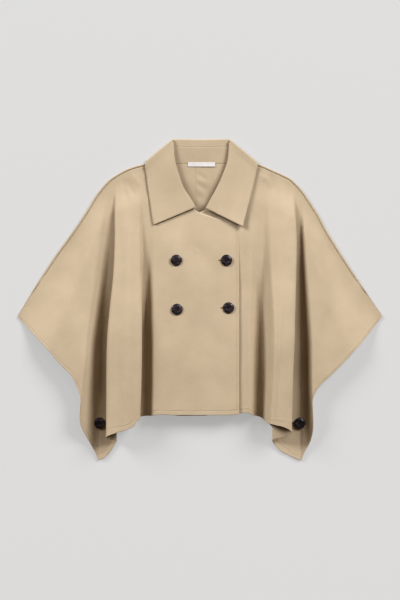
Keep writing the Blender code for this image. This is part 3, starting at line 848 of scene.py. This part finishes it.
def backGrid(panel, hem):
    form = backForm
    upper, lower = backOutlines(panel, hem)
    step = form["shareStep"]
    taperStart, taperEnd = form["wrapTaper"]
    turns = [1.0, *np.linspace(1, 0, form["wrapRows"])[:-1]]
    reaches = [form["wrapReturn"], *[0.0] * (form["wrapRows"] - 1)]
    rows = np.linspace(0, 1, form["rows"]) ** form["rowSpacing"]
    grid = np.empty((len(turns) + len(rows), form["columns"], 3))
    keep = np.ones((len(grid) - 1, form["columns"] - 1), bool)
    for c, share in enumerate(backColumnShares(upper)):
        top = onPath(upper, share)
        ahead = onPath(upper, min(share + step, 1)) - onPath(upper, max(share - step, 0))
        outward = unit(np.array([-ahead[1], ahead[0]]))
        curled = smooth((top[0] - form["neckCorner"][0]) / form["curlReach"])
        curled *= smooth((form["farCorner"][0] - top[0]) / form["curlReach"])
        taper = 1 - smooth((top[0] - taperStart) / (taperEnd - taperStart))
        radius = form["wrapRadius"] * max(taper, form["leastWrap"])
        base = top - outward * (radius + clothCut["solidThickness"] / 2) * curled
        for r, (turn, reach) in enumerate(zip(turns, reaches)):
            angle = math.pi * turn
            place = base + outward * (radius * math.sin(angle) + reach * taper * math.cos(angle))
            high = radius * (1 - math.cos(angle)) - (form["wrapDrop"] * taper if reach else 0.0)
            grid[r, c] = *place, high
        grid[len(turns):, c, :2] = base + (onPath(lower, share) - base) * rows[:, None]
        grid[len(turns):, c, 2] = 0.0
        if top[0] < form["wrapStart"]:
            keep[:len(turns), c] = False
        if top[0] > form["wrapEnd"]:
            keep[:len(turns), c - 1:] = False
    grid[:, :, 0] *= panel.side
    grid[:, :, 2] += form["height"] + lift(grid[:, :, 0], grid[:, :, 1])
    return (grid, keep) if panel.side < 0 else (grid[:, ::-1], keep[:, ::-1])


def makeBack(name, node, panel, hem):
    # thinner at the centre seam, so that it shows as a groove, and where it wraps over the front
    form = backForm
    grid, keep = backGrid(panel, hem)
    fromSeam = np.abs(grid[:, :, 0] - form["centreX"])
    calm = smooth((form["calmY"] - grid[:, :, 1]) / form["calmReach"]) * smooth(fromSeam / form["calmSeam"])
    grid += (addCreases(grid, backCreases) - grid) * calm[:, :, None]
    fromSeam = np.abs(grid[:, :, 0] - form["centreX"]) / form["seamWidth"]
    thick = clothCut["thickness"]
    thickness = thick - (thick - form["seamThickness"]) * np.exp(-fromSeam**2)
    thickness[0], thickness[1] = form["lipThickness"], form["wrapThickness"]
    return addCloth(name, node, grid, thickness, keep)


rightBack = makeBack("rightBackCloth", "back_right", rightPanel, rightBackHem)
leftBack = makeBack("leftBackCloth", "back_left", leftPanel, leftBackHem)
print("backs made")

# The collar: its fall folds over the roll line, and its stand joins it to the neck

Line = namedtuple("Line", "rollX rollY rollZ edgeX edgeY standoff neckX neckY")

collarForm = {
    "rollRadius": 1.8,
    "rollTurns": (180, 157, 135, 112, 90, 68, 45, 22, 0),
    "edgeShares": (0.04, 0.09, 0.16, 0.24, 0.33, 0.43, 0.53, 0.63, 0.73, 0.82, 0.9, 0.96, 1),
    "foldTurns": (15, 40, 65, 90, 115, 140, 165),
    "foldBulge": 0.55,
    "seamBelow": 3.4,
    "turnPerStep": 10.0,
    "backLines": (0.07, 0.2, 0.35, 0.5, 0.65, 0.8, 0.93),
    "backRollY": 403.5,
    "backRollDip": 1.0,
    "backEdgeY": 342.5,
    "edgeDip": 14.0,
    "standSeamY": 383.5,
    "steps": 5,
    "thickness": 1.5,
}
rightCollar = (
    Line(-11, 231, 20, -115.5, 187.5, 1.6, -18, 226),
    Line(-21, 250, 19, -118, 198, 1.4, -33, 246),
    Line(-41, 281.5, 17, -124, 238, 1.0, -60, 276),
    Line(-61, 341.5, 15, -131, 285, 2.0, -80, 322),
    Line(-65.5, 380, 12, -135.5, 320, 2.0, -74, 372),
    Line(-66, 396, 11, -138, 335.5, 3.0, -73, 386),
)
leftCollar = (
    Line(14, 229, 22, 107, 183, 7.5, 22, 225),
    Line(23, 247, 21, 110.5, 197, 6.0, 36, 243),
    Line(43, 283, 19, 121, 238, 4.0, 61, 277),
    Line(67, 341.5, 15, 133, 285, 2.5, 81, 322),
    Line(72, 380, 12, 141, 320, 2.0, 80, 372),
    Line(72, 395, 11, 144, 334.5, 3.0, 79, 386),
)
rightFold = ((-66.0, 401.5), (-134.5, 345.5))
leftFold = ((72.0, 400.5), (140.5, 344.5))


def frontHeight(panel, s, y):
    # the height of a front's middle layer over a point between its edge and its wing
    wrap = frontForm["wrapWidth"]
    inner = float(wallLine(panel, 0, -1, y)[0])
    if s <= inner:
        return float(pillowed(panel, s, y, spanHeight(panel, 0, (s + wrap) / (inner + wrap), y)))
    for index in range(len(panel.walls)):
        start, end = (float(wallLine(panel, index, t, y)[0]) for t in (-1, 1))
        if start <= s <= end:
            t = 2 * (s - start) / (end - start) - 1
            return float(pillowed(panel, s, y, wallHeight(panel, index, t, y)))
    return float(seamHeight(panel.side * s, y))


def collarLine(roll, edge, isUnder, seam):
    # a line across the collar, from its seam round the roll to its edge
    roll, edge = np.array(roll, float), np.array(edge, float)
    radius = collarForm["rollRadius"]
    ahead = unit(roll - edge)
    bend = roll - ahead * (radius + clothCut["solidThickness"] / 2)
    inward = np.array((0, 0, -2 * radius if isUnder else 2 * radius))
    points = [np.array(seam, float)]
    for angle in np.radians(collarForm["rollTurns"]):
        points.append(bend + inward * (1 - math.cos(angle)) / 2 + ahead * radius * math.sin(angle))
    return np.array(points + [bend + (edge - bend) * share for share in collarForm["edgeShares"]])


def collarSide(panel, lines, fold):
    # one leaf's lines, then those of the fold in which it turns behind the neck
    form = collarForm
    room = clothCut["solidThickness"] + clothCut["layerGap"]
    found = []
    for line in lines:
        edgeZ = frontHeight(panel, abs(line.edgeX), line.edgeY) + room + line.standoff
        seamZ = min(frontHeight(panel, abs(line.neckX), line.neckY) + room, line.rollZ - form["seamBelow"])
        roll, edge = (line.rollX, line.rollY, line.rollZ), (line.edgeX, line.edgeY, edgeZ)
        found.append(collarLine(roll, edge, True, (line.neckX, line.neckY, seamZ)))
    leafSeam = found[-1][0]
    peak, point = (np.array((*place, 0.0)) for place in fold)
    outward = np.cross(unit(point - peak), np.array((0, 0, -panel.side)))
    low = backForm["height"]
    for turn in form["foldTurns"]:
        angle = math.radians(turn)
        ends = []
        for place, top in ((peak, lines[-1].rollZ), (point, edgeZ)):
            radius = (top - low) / 2
            rise = np.array((0, 0, low + radius * (1 + math.cos(angle))))
            ends.append(place + outward * radius * form["foldBulge"] * math.sin(angle) + rise)
        aside = panel.side * (180 - turn) / form["turnPerStep"]
        seam = np.array((peak[0] + aside, form["standSeamY"], low + 2 * form["rollRadius"]))
        if turn < 90:
            seam = leafSeam + np.array((0, turn / form["turnPerStep"], 0))
        found.append(collarLine(*ends, turn < 90, seam))
    return found


def collarGrid():
    # the collar's lines from one front end round the neck to the other, made a grid
    form = collarForm
    right = collarSide(rightPanel, rightCollar, rightFold)
    left = collarSide(leftPanel, leftCollar, leftFold)
    back = []
    low = backForm["height"]
    for share in form["backLines"]:
        dip = math.sin(math.pi * share)
        rollX, edgeX = (start[0] + (end[0] - start[0]) * share for start, end in zip(rightFold, leftFold))
        roll = (rollX, form["backRollY"] - form["backRollDip"] * dip, low)
        edge = (edgeX, form["backEdgeY"] - form["edgeDip"] * dip, low)
        back.append(collarLine(roll, edge, False, (rollX, form["standSeamY"], low + 2 * form["rollRadius"])))
    lines = np.array(right + back + left[::-1])
    steps = form["steps"]
    grid = np.stack([smoothPath(lines[:, column], steps) for column in range(lines.shape[1])], axis=1)
    grid[:, :, 2] = np.maximum(grid[:, :, 2], low)
    keep = np.ones((len(grid) - 1, grid.shape[1] - 1), bool)
    inner = len(form["rollTurns"])
    keep[steps * (len(rightCollar) - 1):steps * (len(lines) - len(leftCollar)), :inner] = False
    return grid[:, ::-1], keep[:, ::-1]


fallGrid, fallKeep = collarGrid()
collarFall = addCloth("collarFallCloth", "collar_fall", fallGrid, collarForm["thickness"], fallKeep)

standForm = {
    "topX": (-67.0, 73.0),
    "neckX": (-72.0, 78.0),
    "neckY": 342.1,
    "neckRise": 2.4,
    "crestTurns": (96, 180, 9),
    "rollOver": 0.25,
    "upperRows": 9,
    "seamRows": (1.4, 0.7, 0, -0.7, -1.4),
    "seamClear": 2.5,
    "lowerRows": 22,
    "seamGroove": 0.3,
    "seamWidth": 1.1,
    "ripple": 0.12,
    "rippleWidth": 22.0,
    "rippleLength": 40.0,
    "rippleSeed": 3.0,
    "columns": 96,
}


def standGrid():
    # from the crest of the roll, over the seam of fall and stand, down to the neck seam
    form = standForm
    roll, over = collarForm["rollRadius"], form["rollOver"]
    low, seamY = backForm["height"], collarForm["standSeamY"]
    rollY = collarForm["backRollY"] - roll - clothCut["solidThickness"] / 2
    profile = []
    for turn in np.radians(np.linspace(*form["crestTurns"])):
        y, z = (roll + over) * math.sin(turn), -(roll + over) * math.cos(turn)
        profile.append((rollY + y, low + roll + z, 1.0))
    top = low + 2 * roll + over
    for y in [
        *np.linspace(rollY - 2, seamY + form["seamClear"], form["upperRows"]),
        *(seamY + offset for offset in form["seamRows"]),
        *np.linspace(seamY - form["seamClear"], form["neckY"], form["lowerRows"]),
    ]:
        share = np.clip((seamY - y) / (seamY - form["neckY"]), 0, 1)
        groove = form["seamGroove"] * math.exp(-((y - seamY) / form["seamWidth"]) ** 2)
        profile.append((y, top + (low + form["neckRise"] - top) * share - groove, 1 - share))
    grid = np.empty((len(profile), form["columns"], 3))
    across = np.linspace(0, 1, form["columns"])
    for row, (y, z, share) in enumerate(profile):
        left, right = (top * share + neck * (1 - share) for top, neck in zip(form["topX"], form["neckX"]))
        x = left + (right - left) * across
        dip = collarForm["backRollDip"] * np.sin(math.pi * across) * share
        ripple = np.array([
            noise.noise(Vector((place / form["rippleWidth"], y / form["rippleLength"], form["rippleSeed"])))
            for place in x
        ])
        grid[row] = np.stack([x, y - dip, z + form["ripple"] * ripple * (1 - abs(2 * share - 1))], axis=1)
    return grid


collarStand = addCloth("collarStandCloth", "collar_stand", standGrid())
print("collar made")

# What lies on the cloth: heights and ways up, found on the finished fronts


def surfaceOf(pieces):
    points, faces = [], []
    for piece in pieces:
        first = len(points)
        points += [vertex.co.copy() for vertex in piece.data.vertices]
        faces += [[first + corner for corner in face.vertices] for face in piece.data.polygons]
    return BVHTree.FromPolygons(points, faces)


frontSurface = surfaceOf((rightFront, leftFront))
rayStart = 200.0


def onCloth(x, y):
    # the top of the fronts at a place, and the way that the cloth faces
    hit, normal, _, _ = frontSurface.ray_cast(Vector((x, y, rayStart)) * mm, Vector((0, 0, -1)))
    return hit / mm, -normal if normal.z < 0 else normal


def ringPoints(x, y, radius, count, start=0.0):
    # points evenly round a middle
    turns = start + 2 * math.pi * np.arange(count) / count
    return [np.array((x + radius * math.cos(turn), y + radius * math.sin(turn))) for turn in turns]


def discHeight(x, y, radius, count):
    # the height at which a disc clears the cloth, tried at its middle and round its rim
    return max(onCloth(*place)[0].z for place in [(x, y), *ringPoints(x, y, radius, count)])


# Neck label

labelForm = {
    "centre": (4.0, 339.2),
    "size": (68.0, 10.8),
    "height": 4.75,
    "thickness": 0.45,
    "lift": 0.8,
    "waves": ((0.18, 9, 0.7), (0.1, 23, 0)),
    "sway": 0.4,
    "columns": 60,
    "rows": 14,
}


def labelGridOf(form):
    # a strip that is sewn down along its top and loose below
    across = np.linspace(-0.5, 0.5, form["columns"])
    wave = sum(height * np.sin(across * count + shift) for height, count, shift in form["waves"])
    grid = np.empty((form["rows"], form["columns"], 3))
    for row, share in enumerate(np.linspace(0, 1, form["rows"])):
        sway = form["sway"] * share * np.sin(across * 2)
        grid[row, :, 0] = form["centre"][0] + form["size"][0] * across + sway
        grid[row, :, 1] = form["centre"][1] + form["size"][1] * (0.5 - share)
        grid[row, :, 2] = form["height"] + form["lift"] * share**2 * (0.5 + across) + wave * share
    return grid


labelGrid = labelGridOf(labelForm)
labelMesh = shellMesh("neckLabelStrip", labelGrid, labelForm["thickness"])
neckLabel = addPiece("neckLabelStrip", labelMesh, ribbon, ("neck_label",))
print("label made")

# Buttons

buttonForm = {
    "segments": 64,
    "profile": (
        (0.0, 0.0), (12.4, 0.0), (13.3, 0.3), (13.9, 0.9), (14.0, 1.5), (13.8, 2.15), (13.3, 2.45),
        (12.6, 2.55), (12.0, 2.6), (11.4, 2.78), (10.6, 3.12), (9.8, 3.42), (9.0, 3.6), (8.2, 3.66),
        (7.2, 3.62), (6.2, 3.5), (5.4, 3.38), (4.4, 3.3), (0.0, 3.3),
    ),
    "sharpAngle": 50.0,
    "holeRadius": 1.15,
    "holeReach": 2.9,
    "holeSides": 20,
    "holeTurn": 45.0,
    "drillEnds": (-1, 6),
    "clearance": 0.12,
    "clearPoints": 12,
    "threadRadius": 0.42,
    "threadAside": 0.32,
    "threadTop": 3.85,
    "threadSag": 0.35,
    "threadBend": 1.9,
    "threadSink": 0.2,
    "shankRadius": 1.5,
    "shankSides": 12,
    "shankSink": 0.4,
    "shankTop": 0.3,
    "shankLean": 0.01,
    "places": (
        ("button_front_1", -59.25, 98.5, 20.0), ("button_front_2", 66.25, 98.5, -12.0),
        ("button_front_3", -57.5, -24.25, 38.0), ("button_front_4", 71.25, -20.5, 8.0),
        ("button_side_right", -251.0, -310.0, 30.0), ("button_side_left", 250.0, -310.0, -24.0),
    ),
}


def ringFaces(first, rings, sides):
    # the faces that join rings of points, each ring to the next
    return [
        (low + turn, low + (turn + 1) % sides, low + sides + (turn + 1) % sides, low + sides + turn)
        for low in range(first, first + (rings - 1) * sides, sides)
        for turn in range(sides)
    ]


def turnedMesh(name, profile, sides):
    # a profile turned about z, closed in the middle below and above
    rings = profile[1:-1]
    points = [(0, 0, profile[0][1])]
    for radius, z in rings:
        points += [(*place, z) for place in ringPoints(0, 0, radius, sides)]
    points.append((0, 0, profile[-1][1]))
    last = len(points) - 1
    faces = ringFaces(1, len(rings), sides)
    for turn in range(sides):
        ahead = (turn + 1) % sides
        faces += [(0, 1 + ahead, 1 + turn), (last - sides + turn, last - sides + ahead, last)]
    return meshOf(name, points, faces)


def evaluatedMesh(holder, name):
    # a modifier's outcome as a plain mesh
    found = bpy.data.meshes.new_from_object(holder.evaluated_get(bpy.context.evaluated_depsgraph_get()))
    holder.modifiers.clear()
    found.name = name
    return found


def makeButtonMesh():
    # the turned disc with four drilled holes
    form = buttonForm
    points, faces = [], []
    sides = form["holeSides"]
    for x, y in ringPoints(0, 0, form["holeReach"], 4, math.radians(form["holeTurn"])):
        first = len(points)
        for z in form["drillEnds"]:
            points += [(*place, z) for place in ringPoints(x, y, form["holeRadius"], sides)]
        faces += [tuple(range(first, first + sides))[::-1], tuple(range(first + sides, first + 2 * sides))]
        faces += ringFaces(first, 2, sides)
    disc = addObject("buttonDisc", turnedMesh("buttonDisc", form["profile"], form["segments"]))
    drill = addObject("buttonDrill", meshOf("buttonDrill", points, faces))
    cut = disc.modifiers.new("holes", "BOOLEAN")
    cut.operation = "DIFFERENCE"
    cut.solver = "EXACT"
    cut.object = drill
    found = evaluatedMesh(disc, "buttonTurned")
    for holder in (disc, drill):
        bpy.data.objects.remove(holder)
    found.shade_smooth()
    found.set_sharp_from_angle(angle=math.radians(form["sharpAngle"]))
    return found


def addTube(points, faces, path, radius, sides=8):
    # a closed tube along a path, added to lists of points and faces
    path = np.array(path, float)
    ahead = unit(np.gradient(path, axis=0))
    side = np.cross(ahead, (0.0, 0.0, 1.0))
    side[np.linalg.norm(side, axis=1) < 1e-3] = (1.0, 0.0, 0.0)
    side = unit(side)
    up = np.cross(side, ahead)
    first = len(points)
    last = first + (len(path) - 1) * sides
    for place, right, high in zip(path, side, up):
        points += [place + right * x + high * y for x, y in ringPoints(0, 0, radius, sides)]
    faces += ringFaces(first, len(path), sides)
    faces += [tuple(range(first, first + sides))[::-1], tuple(range(last, last + sides))]


def threadPath(form, start, end, base):
    # up from the cloth, over the button's middle and down again
    foot, bend = base - form["threadSink"], base + form["threadBend"]
    path = []
    for share in np.linspace(0, 1, 9):
        z = base + form["threadTop"] - form["threadSag"] * (2 * share - 1) ** 2
        path.append((*(start + (end - start) * share), z))
    return [(*start, foot), (*start, bend), *path, (*end, bend), (*end, foot)]


def makeButtons():
    # each button lies just clear of the cloth, with two double threads and a shank
    form = buttonForm
    turned = makeButtonMesh()
    points, faces = [], []
    for node, x, y, turn in form["places"]:
        base = discHeight(x, y, form["profile"][1][0], form["clearPoints"]) + form["clearance"]
        angle = math.radians(turn)
        mesh = turned.copy()
        mesh.transform(Matrix.Translation(Vector((x, y, base)) * mm) @ Matrix.Rotation(angle, 4, "Z"))
        name = "".join(part.capitalize() for part in node.split("_"))
        addPiece(name[0].lower() + name[1:] + "Disc", mesh, horn, (node,))
        holes = ringPoints(x, y, form["holeReach"], 4, angle + math.radians(form["holeTurn"]))
        for start, end in ((holes[0], holes[1]), (holes[3], holes[2])):
            across = unit(end - start)
            for aside in (-form["threadAside"], form["threadAside"]):
                shift = np.array((-across[1], across[0])) * aside
                path = threadPath(form, start + shift, end + shift, base)
                addTube(points, faces, path, form["threadRadius"])
        ground = onCloth(x, y)[0].z
        heights = (ground - form["shankSink"], (ground + base) / 2, base + form["shankTop"])
        shank = [(x + lean, y, z) for lean, z in zip((0, form["shankLean"], 0), heights)]
        addTube(points, faces, shank, form["shankRadius"], form["shankSides"])
    mesh = meshOf("buttonThreads", points, faces)
    mesh.shade_smooth()
    addPiece("buttonThreads", mesh, darkThreadAndSlitShade)


makeButtons()
print("buttons made")

# Stitches, set along paths by one node tree

stitchSizes = {
    "seam": {"length": 2.7, "width": 0.62, "height": 0.42, "spacing": 3.3},
    "label": {"length": 1.7, "width": 0.4, "height": 0.3, "spacing": 2.1},
    "buttonhole": {"length": 2.3, "width": 0.62, "height": 0.5, "spacing": 0.6},
}
stitchForm = {
    "segments": 6,
    "rings": 4,
    "stand": 0.10,
    "labelStand": 0.05,
    "holeStand": 0.12,
    "labelRow": 1,
}


def makeStitchTree():
    # one stitch for every step of the spacing along a path, turned to the path and to its up attribute
    tree = bpy.data.node_groups.new("stitchRow", "GeometryNodeTree")
    face = tree.interface
    face.new_socket("Geometry", in_out="INPUT", socket_type="NodeSocketGeometry")
    for name, value in (*stitchSizes["seam"].items(), ("turn", 0.0)):
        face.new_socket(name, in_out="INPUT", socket_type="NodeSocketFloat").default_value = value * mm
    face.new_socket("thread", in_out="INPUT", socket_type="NodeSocketMaterial")
    face.new_socket("Geometry", in_out="OUTPUT", socket_type="NodeSocketGeometry")
    enter, leave = addNode(tree, "NodeGroupInput"), addNode(tree, "NodeGroupOutput")
    curve = addNode(tree, "GeometryNodeMeshToCurve")
    points = addNode(tree, "GeometryNodeCurveToPoints", mode="LENGTH")
    up = addNode(tree, "GeometryNodeInputNamedAttribute", {"Name": "up"}, data_type="FLOAT_VECTOR")
    facing = addNode(tree, "FunctionNodeAxesToRotation", primary_axis="Z", secondary_axis="X")
    aside = addNode(tree, "ShaderNodeCombineXYZ")
    euler = addNode(tree, "FunctionNodeEulerToRotation")
    spin = addNode(tree, "FunctionNodeRotateRotation", rotation_space="LOCAL")
    ball = addNode(
        tree, "GeometryNodeMeshUVSphere",
        {"Segments": stitchForm["segments"], "Rings": stitchForm["rings"], "Radius": 0.5},
    )
    lying = addNode(tree, "GeometryNodeTransform", {"Rotation": (0, math.pi / 2, 0)})
    size = addNode(tree, "ShaderNodeCombineXYZ")
    shape = addNode(tree, "GeometryNodeTransform")
    put = addNode(tree, "GeometryNodeInstanceOnPoints")
    plain = addNode(tree, "GeometryNodeRealizeInstances")
    rounded = addNode(tree, "GeometryNodeSetShadeSmooth")
    paint = addNode(tree, "GeometryNodeSetMaterial")
    join(
        tree,
        (enter, "Geometry", curve, "Mesh"),
        (curve, "Curve", points, "Curve"),
        (enter, "spacing", points, "Length"),
        (up, "Attribute", facing, "Primary Axis"),
        (points, "Tangent", facing, "Secondary Axis"),
        (enter, "turn", aside, "Z"),
        (aside, "Vector", euler, "Euler"),
        (facing, "Rotation", spin, "Rotation"),
        (euler, "Rotation", spin, "Rotate By"),
        (enter, "length", size, "X"),
        (enter, "width", size, "Y"),
        (enter, "height", size, "Z"),
        (ball, "Mesh", lying, "Geometry"),
        (lying, "Geometry", shape, "Geometry"),
        (size, "Vector", shape, "Scale"),
        (points, "Points", put, "Points"),
        (shape, "Geometry", put, "Instance"),
        (spin, "Rotation", put, "Rotation"),
        (put, "Instances", plain, "Geometry"),
        (plain, "Geometry", rounded, "Geometry"),
        (rounded, "Geometry", paint, "Geometry"),
        (enter, "thread", paint, "Material"),
        (paint, "Geometry", leave, "Geometry"),
    )
    return tree


stitchTree = makeStitchTree()


def makeStitches(name, paths, thread, kind="seam", turn=0.0):
    # paths are pairs of points, in millimetres, and ways up
    points, ups, edges = [], [], []
    for places, ways in paths:
        edges += [(len(points) + step, len(points) + step + 1) for step in range(len(places) - 1)]
        points += list(places)
        ups += list(ways)
    mesh = meshOf(name + "Path", points, edges=edges)
    attribute = mesh.attributes.new("up", "FLOAT_VECTOR", "POINT")
    attribute.data.foreach_set("vector", np.array(ups, np.float32).reshape(-1))
    holder = addObject(name + "Path", mesh)
    rows = holder.modifiers.new("stitches", "NODES")
    rows.node_group = stitchTree
    values = {key: value * mm for key, value in stitchSizes[kind].items()}
    values.update(turn=turn, thread=thread)
    for item in stitchTree.interface.items_tree:
        if item.in_out == "INPUT" and item.name in values:
            rows[item.identifier] = values[item.name]
    found = evaluatedMesh(holder, name)
    bpy.data.objects.remove(holder)
    print(name, len(found.polygons), "faces")
    return addPiece(name, found, None)


def pathOn(grid, rows, columns, thickness=clothCut["thickness"], stand=stitchForm["stand"]):
    # a path along a grid's row or column, just above the cloth, with its ways up
    normal = gridNormals(grid)[rows, columns]
    return grid[rows, columns] + normal * (thickness / 2 + stand), normal


def frontPaths(panel, grid):
    # along the hem and along the wing's lower edge, at their own distances
    isWing = wingColumns(panel)[::-panel.side]
    hem, opening = hemRow(hemForm["hemStitch"]), hemRow(hemForm["openingStitch"])
    return [pathOn(grid, hem, ~isWing), pathOn(grid, opening, isWing)]


edgeColumn = frontForm["edgeColumns"].index(hemForm["edgeStitch"])
edgePath = pathOn(rightFrontGrid, slice(0, hemRow(hemForm["hemStitch"]) + 1), edgeColumn)
rightPaths = [*frontPaths(rightPanel, rightFrontGrid), edgePath]
rightStitches = makeStitches("rightFrontStitches", rightPaths, sewingThread)
leftStitches = makeStitches("leftFrontStitches", frontPaths(leftPanel, leftFrontGrid), sewingThread)
labelRow = stitchForm["labelRow"]
labelPath = pathOn(labelGrid, labelRow, slice(None), labelForm["thickness"], stitchForm["labelStand"])
labelStitches = makeStitches("labelStitches", [labelPath], labelThread, "label")

# Buttonholes: purl stitches round a slit, beside the buttons that close, with the slit's shade painted as a
# dark tube

holeForm = {
    "places": ((66.25, 98.5), (71.25, -20.5), (250.0, -310.0)),
    "near": 3.0,
    "far": 19.0,
    "halfWidth": 1.25,
    "straightSteps": 23,
    "endSteps": 9,
    "slitSteps": 24,
    "slitSides": 6,
    "slitWidth": 0.55,
    "slitStand": 0.02,
}


def holeOutline(x, y):
    # along one side, round the far end and back
    form = holeForm
    half = form["halfWidth"]
    straight = x + form["near"] - np.linspace(0, form["near"] + form["far"], form["straightSteps"])
    outline = [(place, y - half) for place in straight]
    for turn in np.linspace(0, math.pi, form["endSteps"])[1:-1]:
        outline.append((x - form["far"] - half * math.sin(turn), y - half * math.cos(turn)))
    return outline + [(place, y + half) for place in straight[::-1]]


def makeButtonholes():
    form = holeForm
    paths, points, faces = [], [], []
    for x, y in form["places"]:
        places, ways = zip(*(onCloth(*place) for place in holeOutline(x, y)))
        paths.append(([hit + way * stitchForm["holeStand"] for hit, way in zip(places, ways)], ways))
        # a dark tube along the slit, painted shade where the cut opens
        line = np.linspace(x + form["near"], x - form["far"], form["slitSteps"])
        line = [hit + way * form["slitStand"] for hit, way in (onCloth(place, y) for place in line)]
        addTube(points, faces, line, form["slitWidth"], form["slitSides"])
    mesh = meshOf("buttonholeSlitShade", points, faces)
    mesh.shade_smooth()
    slitShade = addPiece("buttonholeSlitShade", mesh, darkThreadAndSlitShade)
    return slitShade, makeStitches("buttonholePurls", paths, sewingThread, "buttonhole", math.pi / 2)


slitShade, purls = makeButtonholes()
print("stitches made")

# The cloth's flat cut, as width and length and area, before it was folded and laid

flatCuts = (
    (rightFront, (0.98, 0.72), 0.345, "laid", ("back_right", "back_left", "leftFrontCloth"),
     (rightStitches, purls, slitShade)),
    (leftFront, (0.96, 0.70), 0.340, "laid", ("back_left", "back_right"), (leftStitches,)),
    (rightBack, (0.48, 0.74), 0.230, "laid", (), ()),
    (leftBack, (0.45, 0.74), 0.226, "laid", (), ()),
    (collarFall, (0.60, 0.13), 0.054, "folded", ("collarStandCloth", "front_right", "front_left"), ()),
    (collarStand, (0.155, 0.064), 0.0092, "folded", ("back_right", "back_left"), ()),
    (neckLabel, (0.068, 0.011), 0.00074, "laid", ("back_right", "collarStandCloth"), (labelStitches,)),
)
for cloth, size, area, held, under, pieces in flatCuts:
    faceArea = sum(face.area for face in cloth.data.polygons) / 2
    print(cloth.name, "covers", round(faceArea, 4), "of", area)

# Light, floor and camera

studio = {
    # name, power in watts, size and distance in metres, and way from the cape
    "lights": (
        ("rightLight", 8400.0, 13.0, 30.0, (0.63, 0.57, 0.53)),
        ("leftLight", 7200.0, 13.0, 30.0, (-0.74, 0.50, 0.45)),
        ("topLight", 700.0, 9.0, 30.0, (0.32, 0.36, 0.88)),
    ),
    "sky": {"Color": (1.0, 0.72, 0.45, 1), "Strength": 0.1},
    "floorReach": 12000.0,
    "floorDrop": 0.6,
    "floor": {
        "Base Color": (0.22, 0.22, 0.2211, 1),
        "Roughness": 0.9,
        "Specular IOR Level": 0.1,
        "Emission Color": (0.99, 0.997, 1.003, 1),
        "Emission Strength": 0.316,
    },
    "look": "High Contrast",
    "cameraPlace": (0.0, -0.001, 6.03),  # in metres
    "sensorWidth": 36.0,
    "lens": 144.0,
}


def makeFloor():
    reach, drop = studio["floorReach"], -studio["floorDrop"]
    corners = [(-reach, -reach, drop), (reach, -reach, drop), (reach, reach, drop), (-reach, reach, drop)]
    floor = addObject("studioFloor", meshOf("studioFloor", corners, [(0, 1, 2, 3)]))
    floor.data.materials.append(addFinish("paleFloor", studio["floor"])[0])


def makeLights():
    for name, power, size, distance, way in studio["lights"]:
        softbox = bpy.data.lights.new(name, "AREA")
        softbox.shape = "DISK"
        softbox.energy = power
        softbox.size = size
        lamp = addObject(name, softbox)
        lamp.rotation_mode = "QUATERNION"
        lamp.location = Vector(way).normalized() * distance
        lamp.rotation_quaternion = Vector(way).to_track_quat("Z", "Y")
    sky = bpy.data.worlds.new("studioSky")
    sky.use_nodes = True
    setInputs(sky.node_tree.nodes["Background"], studio["sky"])
    bpy.context.scene.world = sky


def makeCamera():
    data = bpy.data.cameras.new("studioCamera")
    data.sensor_fit = "AUTO"
    data.sensor_width = studio["sensorWidth"]
    data.lens = studio["lens"]
    camera = addObject("studioCamera", data)
    camera.location = studio["cameraPlace"]
    bpy.context.scene.camera = camera
    bpy.context.scene.view_settings.view_transform = "Standard"
    bpy.context.scene.view_settings.look = studio["look"]


makeFloor()
makeLights()
makeCamera()
print("studio ready")
